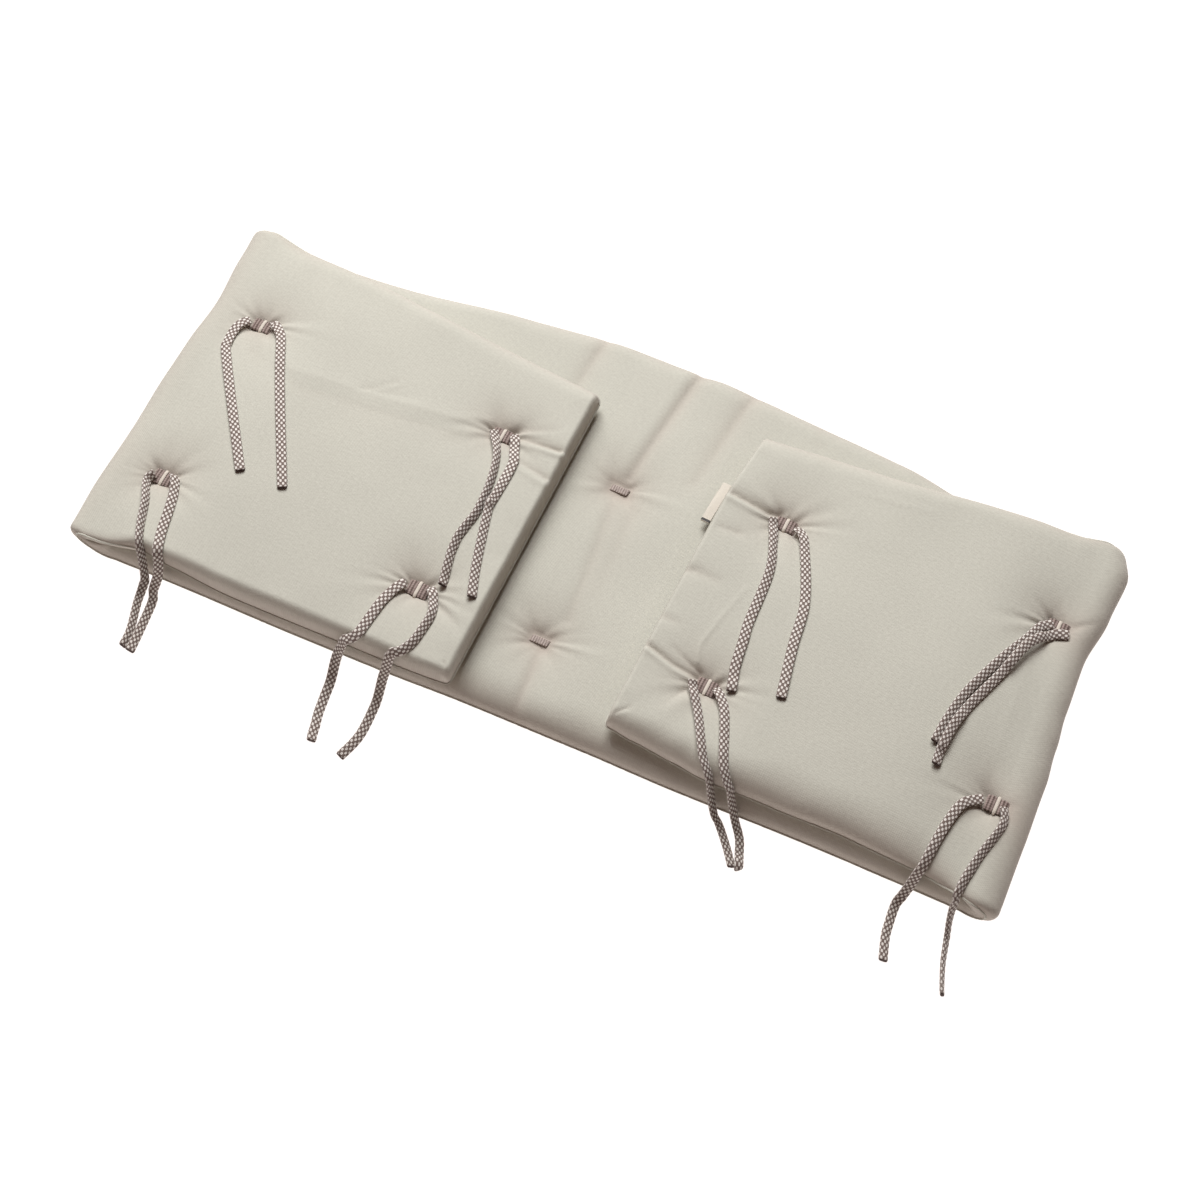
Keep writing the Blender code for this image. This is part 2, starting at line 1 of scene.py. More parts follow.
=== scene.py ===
"""The looks of a crib bumper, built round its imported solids.

The bumper is one long padded cotton strip. Both ends are folded in over its middle, eight flat braided ties
are held by woven tapes, and two tufting tapes gather the middle. Lengths are in metres and in the frame of
the solids: +Z up, X along the folded pad, the origin under its middle. A place on the cloth is given as on
the sewing table: u runs along the flat pad from the tuft column, y across it from the near seam.
"""
import logging
from collections.abc import Callable
from dataclasses import dataclass, field
from enum import Enum

import bpy
import numpy as np
from mathutils import Matrix, Vector
from mathutils.bvhtree import BVHTree


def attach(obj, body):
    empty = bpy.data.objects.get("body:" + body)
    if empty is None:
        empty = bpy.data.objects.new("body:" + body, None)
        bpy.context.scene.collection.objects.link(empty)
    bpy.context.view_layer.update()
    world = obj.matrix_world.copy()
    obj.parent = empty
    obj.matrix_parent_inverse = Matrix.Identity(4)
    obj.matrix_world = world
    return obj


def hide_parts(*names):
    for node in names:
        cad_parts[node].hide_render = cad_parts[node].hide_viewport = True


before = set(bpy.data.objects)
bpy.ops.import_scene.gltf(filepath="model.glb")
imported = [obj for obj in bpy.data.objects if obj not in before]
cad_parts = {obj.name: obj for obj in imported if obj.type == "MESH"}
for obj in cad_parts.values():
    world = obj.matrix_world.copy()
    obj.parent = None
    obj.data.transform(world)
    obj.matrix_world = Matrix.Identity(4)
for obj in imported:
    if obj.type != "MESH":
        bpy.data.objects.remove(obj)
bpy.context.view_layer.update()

MM = 0.001
MIDDLE = np.array([9.85, 189.79, 0.0]) * MM   # the origin, from the tuft column and the near seam
CLOTH_MAP = "cloth"                           # every piece's UV map, in metres on the flat cloth
POINTED = 1.15                                # power of the distance in hollows: 1 is sharp, 2 is round
LOG = logging.getLogger("crib_bumper")
Array = np.ndarray
Socket = bpy.types.NodeSocket
Tree = bpy.types.NodeTree
Material = bpy.types.Material
Piece = bpy.types.Object
Place = tuple[float, float, float]
Table = tuple[tuple, tuple]                   # places in metres, rising, and offsets in millimetres


class Slot(Enum):
    """Names of the material slots. Nothing in the script uses them."""

    COTTON = "cotton"
    TAPE = "tape"
    THREAD = "thread"
    BRAID = "braid"
    LABEL = "label"


class Face(Enum):
    """The two cloths of the pad, by where they lie once it is folded."""

    INNER = 1    # the top of the middle, and the underside of the folded ends
    OUTER = -1   # the underside of the middle, and the top of the folded ends


# ------------------------------------------------------------------------------------------- small helpers
def ease(part: Array) -> Array:
    """Rise from 0 to 1 with level ends."""
    return part * part * (3 - 2 * part)


def bell(distance: Array) -> Array:
    """Fall from 1 as the exponential of minus the distance squared."""
    return np.exp(-distance * distance)


def hump(distance: Array) -> Array:
    """Rise from 0 to 1 at distance 1 and fall away slowly: x e^(1 - x)."""
    return distance * np.exp(1 - distance)


def unit(vectors: Array) -> Array:
    """Scale each vector to length 1."""
    return vectors / np.linalg.norm(vectors, axis=-1, keepdims=True)


def run_length(points: Array) -> Array:
    """Distance gone at each point of a line of straight runs."""
    return np.r_[0, np.cumsum(np.linalg.norm(np.diff(points, axis=0), axis=1))]


def along_line(points: Array, gone: Array, spots: Array) -> Array:
    """Read a line's places at given distances along it."""
    return np.stack([np.interp(spots, gone, points[:, k]) for k in range(points.shape[1])], axis=-1)


def ring_angles(count: int) -> Array:
    """Even angles round a circle."""
    return np.arange(count) * 2 * np.pi / count


def blunt_oval(turn: Array, power: float) -> Array:
    """Points of a superellipse with half widths of 1, n by 2. A smaller power is squarer."""
    circle = np.stack([np.cos(turn), np.sin(turn)], axis=-1)
    return np.sign(circle) * np.abs(circle) ** power


def linear(colour: str) -> tuple[float, float, float, float]:
    """Turn an sRGB hex colour into linear light.

    Args:
        colour: six hex digits after a hash.

    Returns:
        Red, green, blue and an alpha of 1.
    """
    parts = np.array([int(colour[i:i + 2], 16) for i in (1, 3, 5)]) / 255
    light = np.where(parts <= 0.04045, parts / 12.92, ((parts + 0.055) / 1.055) ** 2.4)
    return (*(float(x) for x in light), 1.0)


def add_node(tree: Tree, kind: str, inputs: dict | None = None, out: int | str = 0,
             **settings) -> Socket:
    """Add a shader node with its settings, values and links.

    Args:
        tree: the material's node tree.
        kind: the node's type after "ShaderNode".
        inputs: a value, or a socket to link from, for each input by name or number.
        out: the output that is wanted.
        **settings: the node's own properties.

    Returns:
        That output of the new node.
    """
    node = tree.nodes.new("ShaderNode" + kind)
    for name, value in settings.items():
        setattr(node, name, value)
    for socket, value in (inputs or {}).items():
        if isinstance(value, Socket):
            tree.links.new(value, node.inputs[socket])
        else:
            node.inputs[socket].default_value = value
    return node.outputs[out]


def smooth_table(table: Table, at: Array) -> Array:
    """Read a short table of offsets, easing from row to row.

    Args:
        table: places in metres, rising, and offsets in millimetres.
        at: places to read.

    Returns:
        Offsets in metres.
    """
    places, heights = np.array(table[0]), np.array(table[1]) * MM
    spot = np.clip(at, places[0], places[-1])
    i = np.clip(np.searchsorted(places, spot, side="right") - 1, 0, len(places) - 2)
    part = ease((spot - places[i]) / (places[i + 1] - places[i]))
    return heights[i] + (heights[i + 1] - heights[i]) * part


def spread(start: float, end: float, step: Callable[[Array], Array]) -> Array:
    """Lay points along a line so that their spacing follows a given step.

    The running integral of 1 / step counts the points, and equal counts are read back from it.

    Args:
        start: first point.
        end: last point.
        step: the wanted spacing as a function of place.

    Returns:
        The points, rising, both ends included.
    """
    fine = np.linspace(start, end, 6000)
    count = np.r_[0, np.cumsum((1 / step(fine))[:-1] * np.diff(fine))]
    return np.interp(np.linspace(0, count[-1], int(round(count[-1])) + 1), count, fine)


def polyline_distance(u: Array, y: Array, points: Array) -> tuple[Array, Array, Array]:
    """Find how far places on the cloth are from a line of straight runs.

    Args:
        u: places along the pad.
        y: places across it.
        points: the line's corners, n by 2.

    Returns:
        The distance, the share of the line's length at the closest point, and +1 on its left or -1.
    """
    before = run_length(points)
    best = np.full(u.shape, np.inf)
    share, side = np.zeros(u.shape), np.ones(u.shape)
    for start, run, length, gone in zip(points[:-1], np.diff(points, axis=0), np.diff(before), before):
        part = np.clip(((u - start[0]) * run[0] + (y - start[1]) * run[1]) / length ** 2, 0, 1)
        away_u, away_y = u - start[0] - part * run[0], y - start[1] - part * run[1]
        distance = np.hypot(away_u, away_y)
        closer = distance < best
        best = np.where(closer, distance, best)
        share = np.where(closer, (gone + part * length) / before[-1], share)
        side = np.where(closer, np.where(run[0] * away_y - run[1] * away_u >= 0, 1.0, -1.0), side)
    return best, share, side


def grid_faces(rows: int, columns: int, wrap: bool = False, loop: bool = False) -> Array:
    """Number the quads of a grid of points stored row by row.

    Args:
        rows: points along the first way.
        columns: points along the second way.
        wrap: whether the last column joins the first.
        loop: whether the last row joins the first.

    Returns:
        One row of four vertex numbers for each quad.
    """
    i, j = np.meshgrid(np.arange(rows if loop else rows - 1), np.arange(columns if wrap else columns - 1),
                       indexing="ij")
    below, beside = (i + 1) % rows, (j + 1) % columns
    return np.stack([i * columns + j, i * columns + beside, below * columns + beside, below * columns + j],
                    axis=-1).reshape(-1, 4)


def rod_faces(rows: int, columns: int, flip: bool = False) -> list[Array]:
    """Number the faces of a closed rod.

    Args:
        rows: its rings.
        columns: points in a ring.
        flip: whether every face is turned over.

    Returns:
        The quads round it, and a cap at each end.
    """
    ring = np.arange(columns)
    blocks = [grid_faces(rows, columns, wrap=True), np.stack([ring[::-1], (rows - 1) * columns + ring])]
    return [block[:, ::-1] for block in blocks] if flip else blocks


def sweep(path: Array, side: Array, top: Array, section: Array) -> Array:
    """Carry a section along a path.

    Args:
        path: n by 3 places.
        side: n by 3, the section's first direction at each place.
        top: n by 3, its second direction.
        section: n by m by 2, its points at each place.

    Returns:
        The points, n times m by 3.
    """
    points = path[:, None] + side[:, None] * section[..., :1] + top[:, None] * section[..., 1:]
    return points.reshape(-1, 3)


def new_piece(name: str, points: Array, faces: list, material: Material, flat: Array | None = None,
              smooth: bool = True) -> Piece:
    """Make a mesh object at the origin.

    Args:
        name: the piece's name.
        points: n by 3 places.
        faces: arrays of vertex numbers, one row for each face.
        material: its finish.
        flat: n by 2 places on the cloth map.
        smooth: whether it is shaded smooth.

    Returns:
        The linked object.
    """
    mesh = bpy.data.meshes.new(name)
    sizes = np.concatenate([np.full(len(block), block.shape[1]) for block in faces])
    corners = np.concatenate([block.ravel() for block in faces]).astype(np.int32)
    mesh.vertices.add(len(points))
    mesh.vertices.foreach_set("co", np.asarray(points, np.float32).ravel())
    mesh.loops.add(len(corners))
    mesh.loops.foreach_set("vertex_index", corners)
    mesh.polygons.add(len(sizes))
    mesh.polygons.foreach_set("loop_start", np.r_[0, np.cumsum(sizes)[:-1]].astype(np.int32))
    mesh.polygons.foreach_set("loop_total", sizes.astype(np.int32))
    mesh.update(calc_edges=True)
    mesh.validate()
    if flat is not None:
        mesh.uv_layers.new(name=CLOTH_MAP).data.foreach_set("uv", flat[corners].astype(np.float32).ravel())
    mesh.polygons.foreach_set("use_smooth", np.full(len(sizes), smooth))
    mesh.materials.append(material)
    piece = bpy.data.objects.new(name, mesh)
    bpy.context.scene.collection.objects.link(piece)
    return piece


def mark_points(piece: Piece, name: str, values: Array) -> None:
    """Give a piece's points an attribute that its finish reads."""
    piece.data.attributes.new(name, "FLOAT", "POINT").data.foreach_set("value", values.astype(np.float32))


def enrol(piece: Piece, node: str | None = None) -> Piece:
    """Tie a piece to the part.

    Args:
        piece: the piece.
        node: the solid it stands for, if it stands for one.

    Returns:
        The same piece.
    """
    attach(piece, "root")
    if node is not None:
        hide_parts(node)
    return piece


@dataclass(frozen=True)
class SoftNoise:
    """Smooth random waves, the same each run: random heights on a square lattice with an ease between.

    Attributes:
        seed: which set of heights.
        cell: lattice spacing along each way.
    """

    seed: int
    cell: tuple[float, float]

    def at(self, a: Array, b: Array) -> Array:
        """Read the waves.

        Args:
            a: places along the first way.
            b: places along the second way.

        Returns:
            Heights from -1 to 1.
        """
        size = 64
        heights = np.random.default_rng(self.seed).uniform(-1, 1, (size, size))
        x, z = np.asarray(a) / self.cell[0] + 0.37, np.asarray(b) / self.cell[1] + 0.61
        i, j = np.floor(x).astype(int), np.floor(z).astype(int)
        p, q = ease(x - i), ease(z - j)
        low = heights[i % size, j % size] * (1 - p) + heights[(i + 1) % size, j % size] * p
        high = heights[i % size, (j + 1) % size] * (1 - p) + heights[(i + 1) % size, (j + 1) % size] * p
        return low * (1 - q) + high * q


# ------------------------------------------------------------------------------------------- finishes
@dataclass(frozen=True)
class Finish:
    """A finish with one body colour.

    Attributes:
        name: the real material, in a maker's words.
        colour: body colour, sRGB hex.
        roughness: of the surface itself.
        sheen: strength of the fuzz that catches grazing light.
    """

    name: str
    colour: str
    roughness: float
    sheen: float

    def start(self) -> Material:
        """Begin the material with the body colour, the roughness and the fuzz.

        Returns:
            The material.
        """
        material = bpy.data.materials.new(self.name)
        material.use_nodes = True
        sockets = material.node_tree.nodes["Principled BSDF"].inputs
        sockets["Base Color"].default_value = linear(self.colour)
        sockets["Roughness"].default_value = self.roughness
        sockets["Sheen Weight"].default_value = self.sheen
        sockets["Sheen Roughness"].default_value = 0.5
        return material

    @staticmethod
    def cloth_waves(tree: Tree, pitch: tuple[float, float]) -> list[Socket]:
        """Make a cosine wave along each way of the cloth map.

        Args:
            tree: the material's node tree.
            pitch: wavelength along and across.

        Returns:
            The two waves, from -1 to 1.
        """
        parts = add_node(tree, "SeparateXYZ", {0: add_node(tree, "UVMap", uv_map=CLOTH_MAP)}).node.outputs
        waves = []
        for way, length in zip("XY", pitch):
            turns = add_node(tree, "Math", {0: parts[way], 1: 2 * np.pi / length}, operation="MULTIPLY")
            waves.append(add_node(tree, "Math", {0: turns}, operation="COSINE"))
        return waves

    @staticmethod
    def cloth_noise(tree: Tree, size: float, detail: float) -> Socket:
        """Make uneven shade of one size on the cloth map, from 0 to 1."""
        place = add_node(tree, "UVMap", uv_map=CLOTH_MAP)
        return add_node(tree, "TexNoise", {"Vector": place, "Scale": 1 / size, "Detail": detail}, "Fac")

    @staticmethod
    def two_tone(tree: Tree, value: Socket, span: tuple[float, float], low: str, high: str,
                 **settings) -> Socket:
        """Go from one colour to another as a value rises through a span.

        Args:
            tree: the material's node tree.
            value: what chooses.
            span: its values for the first and for the second colour.
            low: the first colour, sRGB hex.
            high: the second colour.
            **settings: how it goes from one to the other.

        Returns:
            The colour.
        """
        ends = {"Value": value, "From Min": span[0], "From Max": span[1]}
        share = add_node(tree, "MapRange", ends, **settings)
        return add_node(tree, "Mix", {0: share, 6: linear(low), 7: linear(high)}, 2, data_type="RGBA")

    @staticmethod
    def close(material: Material, colour: Socket, relief: Socket, height: float,
              strength: float) -> Material:
        """End the material with its colour and its fine relief.

        Args:
            material: what start began.
            colour: its colour.
            relief: what lifts the surface.
            height: by how much.
            strength: share of it that shows.

        Returns:
            The same material.
        """
        tree = material.node_tree
        sockets = tree.nodes["Principled BSDF"].inputs
        bump = add_node(tree, "Bump", {"Height": relief, "Distance": height, "Strength": strength})
        tree.links.new(colour, sockets["Base Color"])
        tree.links.new(bump, sockets["Normal"])
        return material


@dataclass(frozen=True)
class BasketCotton(Finish):
    """Unbleached cotton in a small basket weave: matt, with a faint grain of raised crossings.

    Attributes:
        deep: colour of the hollows between threads.
        fold: colour of the painted shade in folds, hollows and down the sides, warm and dark like light gone
            from cloth to cloth.
        weave: the weave's pitch. The real one is 1.4 mm, drawn coarser so that it shows in the render.
        height: how far the crossings stand up.
        mottle: size of the faint cloudy shade.
    """

    deep: str
    fold: str
    weave: float
    height: float
    mottle: float

    def material(self) -> Material:
        """Build the material: the product of two thread waves lifts the crossings, and slubs break it up.

        Returns:
            The material.
        """
        material = self.start()
        tree = material.node_tree
        along, across = self.cloth_waves(tree, (self.weave, self.weave))
        crossing = add_node(tree, "Math", {0: along, 1: across}, operation="MULTIPLY")
        place = add_node(tree, "UVMap", uv_map=CLOTH_MAP)
        drawn_out = add_node(tree, "Mapping", {"Vector": place, "Scale": (0.6, 1.0, 1.0)})
        slub = add_node(tree, "TexNoise", {"Vector": drawn_out, "Scale": 1 / (1.2 * self.weave),
                                           "Detail": 3.0, "Roughness": 0.6}, "Fac")
        uneven = add_node(tree, "Math", {0: slub, 1: 2.2}, operation="MULTIPLY")
        grain = add_node(tree, "Math", {0: crossing, 1: 0.5, 2: uneven}, operation="MULTIPLY_ADD")
        woven = self.two_tone(tree, grain, (-0.1, 1.9), self.deep, self.colour)
        # Painted shade: the point attribute "fold" mixes the darker, warmer fold colour into dimples,
        # creases, sides and the rim.
        painted_shade_share = add_node(tree, "Math", {0: add_node(tree, "Attribute", out="Fac", attribute_name="fold"),
                                          1: 0.5}, operation="MULTIPLY")
        folded = add_node(tree, "Mix", {0: painted_shade_share, 6: woven, 7: linear(self.fold)}, 2, data_type="RGBA")
        cloud = add_node(tree, "TexNoise", {"Vector": add_node(tree, "TexCoord", out="Object"),
                                            "Scale": 1 / self.mottle, "Detail": 2.0}, "Fac")
        cloudy = add_node(tree, "MapRange", {"Value": cloud, "From Min": 0.3, "From Max": 0.7,
                                             "To Min": 0.965, "To Max": 1.02})
        colour = add_node(tree, "HueSaturation", {"Value": cloudy, "Color": folded})
        return self.close(material, colour, grain, self.height, 0.5)


@dataclass(frozen=True)
class RibbedTape(Finish):
    """Woven cotton tape, dyed mauve: raised ribs across it with dark lines between.

    Attributes:
        groove: colour between the ribs.
        rib: rib spacing.
        height: how far a rib stands up.
    """

    groove: str
    rib: float
    height: float

    def material(self) -> Material:
        """Build the material: one wave along the tape makes the ribs, and fine noise frays them.

        Returns:
            The material.
        """
        material = self.start()
        tree = material.node_tree
        along, across = self.cloth_waves(tree, (self.rib, self.rib * 0.7))
        fray = self.cloth_noise(tree, self.rib / 0.8, 3.0)
        frayed = add_node(tree, "Math", {0: fray, 1: 2.4, 2: along}, operation="MULTIPLY_ADD")
        ribs = add_node(tree, "Math", {0: across, 1: 0.35, 2: frayed}, operation="MULTIPLY_ADD")
        colour = self.two_tone(tree, ribs, (0.3, 2.0), self.groove, self.colour)
        return self.close(material, colour, ribs, self.height, 0.6)


@dataclass(frozen=True)
class DottedBraid(Finish):
    """Flat tubular braid of mauve yarn with every second crossing in off-white, so it is all over dots.

    Attributes:
        dot: colour of the off-white crossings.
        fray: darker colour of the cut ends.
        pitch: one repeat round the braid and along it.
        height: how far a crossing stands up in the fine bump.
    """

    dot: str
    fray: str
    pitch: tuple[float, float]
    height: float

    def material(self) -> Material:
        """Build the material: the product of two cosines peaks at both sets of crossings of the repeat.

        Returns:
            The material.
        """
        material = self.start()
        tree = material.node_tree
        around, along = self.cloth_waves(tree, self.pitch)
        crossing = add_node(tree, "Math", {0: around, 1: along}, operation="MULTIPLY")
        wear = self.cloth_noise(tree, self.pitch[0], 2.0)
        worn = add_node(tree, "Math", {0: wear, 1: 0.5, 2: crossing}, operation="MULTIPLY_ADD")
        dotted = self.two_tone(tree, worn, (0.28, 0.56), self.colour, self.dot,
                               interpolation_type="SMOOTHSTEP")
        end = add_node(tree, "Attribute", out="Fac", attribute_name="cut_end")
        colour = add_node(tree, "Mix", {0: end, 6: dotted, 7: linear(self.fray)}, 2, data_type="RGBA")
        return self.close(material, colour, worn, self.height, 0.5)


@dataclass(frozen=True)
class SpunThread(Finish):
    """Plied sewing thread: soft gloss, with the fine diagonal lines of its twist.

    Attributes:
        groove: colour between the plies.
        ply: spacing of the twist lines.
    """

    groove: str
    ply: float

    def material(self) -> Material:
        """Build the material: one slanting wave for the plies.

        Returns:
            The material.
        """
        material = self.start()
        tree = material.node_tree
        parts = add_node(tree, "SeparateXYZ", {0: add_node(tree, "UVMap", uv_map=CLOTH_MAP)}).node.outputs
        slant = add_node(tree, "Math", {0: parts["X"], 1: parts["Y"]}, operation="ADD")
        turns = add_node(tree, "Math", {0: slant, 1: 2 * np.pi / self.ply}, operation="MULTIPLY")
        wave = add_node(tree, "Math", {0: turns}, operation="COSINE")
        colour = self.two_tone(tree, wave, (-1.0, 0.4), self.groove, self.colour)
        return self.close(material, colour, wave, 0.1 * MM, 0.5)


@dataclass(frozen=True)
class LabelSatin(Finish):
    """Cream woven label tape with a slight gloss, and a band of painted shade where its loop opens at the
    near end.

    Attributes:
        band: colour of the painted shade band.
        band_edges: where it starts and ends along the label.
    """

    band: str
    band_edges: tuple[float, float]

    def material(self) -> Material:
        """Build the material: two steps along the label cut out the painted shade band, and a fine wave is
        the weave.

        Returns:
            The material.
        """
        material = self.start()
        tree = material.node_tree
        along, across = self.cloth_waves(tree, (0.8 * MM, 0.8 * MM))
        place = add_node(tree, "SeparateXYZ", {0: add_node(tree, "UVMap", uv_map=CLOTH_MAP)})
        # Painted shade: a dark band where the loop's open end lies in shadow.
        above = add_node(tree, "Math", {0: place, 1: self.band_edges[0]}, operation="GREATER_THAN")
        below = add_node(tree, "Math", {0: place, 1: self.band_edges[1]}, operation="LESS_THAN")
        inside = add_node(tree, "Math", {0: above, 1: below}, operation="MULTIPLY")
        colour = add_node(tree, "Mix", {0: inside, 6: linear(self.colour), 7: linear(self.band)}, 2,
                          data_type="RGBA")
        weave = add_node(tree, "Math", {0: along, 1: across}, operation="MULTIPLY")
        return self.close(material, colour, weave, 0.08 * MM, 0.4)


# ------------------------------------------------------------------------------------------- camera and light
@dataclass(frozen=True)
class PhotoCamera:
    """The camera at the photograph's angle, square frame.

    Attributes:
        azimuth: degrees to the right of straight ahead.
        elevation: degrees above the floor.
        roll: degrees the frame is turned.
        distance: from the point looked at.
        lens: focal length in millimetres on a sensor of the width below.
        sensor: sensor width in millimetres.
        target: the point looked at.
    """

    azimuth: float = 21.7813
    elevation: float = 62.9194
    roll: float = 2.0053
    distance: float = 1.8302
    lens: float = 62.13
    sensor: float = 36.0
    target: Place = (0.01625, -0.04749, 0.0)

    def build(self) -> None:
        """Place the camera and make it the scene's."""
        az, el, roll = np.radians((self.azimuth, self.elevation, self.roll))
        back = np.array([np.sin(az) * np.cos(el), -np.cos(az) * np.cos(el), np.sin(el)])
        right = np.array([np.cos(az), np.sin(az), 0.0])
        up = np.cross(back, right)
        turned = (np.cos(roll) * right + np.sin(roll) * up, -np.sin(roll) * right + np.cos(roll) * up, back)
        data = bpy.data.cameras.new("photo_camera")
        data.sensor_width = self.sensor
        data.lens = self.lens
        camera = bpy.data.objects.new("photo_camera", data)
        matrix = np.eye(4)
        matrix[:3, :3] = np.column_stack(turned)
        matrix[:3, 3] = np.array(self.target) + back * self.distance
        camera.matrix_world = Matrix(matrix)
        bpy.context.scene.collection.objects.link(camera)
        bpy.context.scene.camera = camera


@dataclass(frozen=True)
class SoftLight:
    """One square soft box.

    Attributes:
        name: what it does.
        place: where it stands.
        size: edge length.
        power: in watts.
        colour: sRGB hex.
    """

    name: str
    place: Place
    size: float
    power: float
    colour: str

    def build(self) -> None:
        """Hang the light, facing the bumper."""
        data = bpy.data.lights.new(self.name, "AREA")
        data.energy = self.power
        data.size = self.size
        data.color = linear(self.colour)[:3]
        light = bpy.data.objects.new(self.name, data)
        light.location = self.place
        light.rotation_euler = Vector(self.place).to_track_quat("Z", "Y").to_euler()
        bpy.context.scene.collection.objects.link(light)


@dataclass(frozen=True)
class Studio:
    """A pale floor under plain soft light that comes mostly from the far left.

    Attributes:
        floor_size: edge length of the floor.
        paper: the floor's finish.
        glow: light that the paper lets through from below, so that shadows on it stay faint.
        glow_colour: colour of that light.
        room_colour: colour of the light from all round.
        room_light: its strength.
        lights: the soft boxes.
    """

    floor_size: float = 30.0
    paper: Finish = Finish("lit_paper", "#5A5A5A", 0.95, 0.0)
    glow: float = 1.12
    glow_colour: str = "#FFF8F5"
    room_colour: str = "#FFCDBC"
    room_light: float = 0.09
    lights: tuple[SoftLight, ...] = (
        SoftLight("key_light", (-1.00, 1.85, 2.75), 2.2, 168.0, "#FFFFFF"),
        SoftLight("fill_card", (-0.90, -2.60, 1.30), 1.2, 5.0, "#FFE9DF"),
    )

    def build(self) -> None:
        """Lay the floor, hang the lights and set the light from all round."""
        half = self.floor_size / 2
        corners = np.array([[-half, -half, 0], [half, -half, 0], [half, half, 0], [-half, half, 0]])
        paper = self.paper.start()
        sockets = paper.node_tree.nodes["Principled BSDF"].inputs
        sockets["Emission Color"].default_value = linear(self.glow_colour)
        sockets["Emission Strength"].default_value = self.glow
        new_piece("floor", corners, [np.array([[0, 1, 2, 3]])], paper, smooth=False)
        for light in self.lights:
            light.build()
        world = bpy.data.worlds.new("soft_room")
        world.use_nodes = True
        sky = world.node_tree.nodes["Background"]
        sky.inputs["Color"].default_value = linear(self.room_colour)
        sky.inputs["Strength"].default_value = self.room_light
        bpy.context.scene.world = world
        bpy.context.scene.view_settings.view_transform = "Standard"


# ------------------------------------------------------------------------------------------- the flat pad
@dataclass(frozen=True)
class PadEnd:
    """One folded end of the pad.

    Attributes:
        length: flat, from the tuft column to the free end.
        base: from the tuft column to the bend.
        turn: degrees it lies askew.
        flare: how far the edges stand out at the bend.
        overhang: how far the bend's upper side is sheared out, and its lower side in, at the near edge.
        pull: how far the far corner of the free end is drawn back.
        bow: how far the bend stands out, by place across the pad.
    """

    length: float
    base: float
    turn: float
    flare: float
    overhang: float
    pull: float
    bow: Table


@dataclass(frozen=True)
class Stitch:
    """A place where the pad is stitched through.

    Attributes:
        name: which one.
        u: its place along the pad, in millimetres.
        y: its place across it, in millimetres.
    """

    name: str
    u: float
    y: float

    @property
    def spot(self) -> tuple[float, float]:
        """Its u and y in metres."""
        return self.u * MM, self.y * MM


@dataclass(frozen=True)
class Crease:
    """A line in a cloth where it is drawn in, or stands up. All sizes are in millimetres.

    Attributes:
        line: its corners, as (u, y).
        depth: less than 0 for a ridge.
        width: half width of the trough.
        lip: height of the soft roll beside it, on the left of its line if above 0.
        ends: strength at its start and its end.
    """

    line: tuple
    depth: float
    width: float
    lip: float = 0.0
    ends: tuple[float, float] = (1.0, 0.15)

    def sink(self, u: Array, y: Array) -> Array:
        """Work out how far the cloth is drawn in.

        The trough falls off as the exponential of minus a power of the distance over its width. The lip is a
        bell 1.6 widths to its side. Both fade along the line.

        Args:
            u: places along the pad.
            y: places across it.

        Returns:
            Depths in metres.
        """
        distance, share, side = polyline_distance(u, y, np.array(self.line, float) * MM)
        apart = distance / (self.width * MM)
        beside = side * np.sign(self.lip or 1.0) * apart
        fade = self.ends[0] + (self.ends[1] - self.ends[0]) * share
        return (self.depth * np.exp(-apart ** POINTED) - abs(self.lip) * bell(beside - 1.6)) * fade * MM


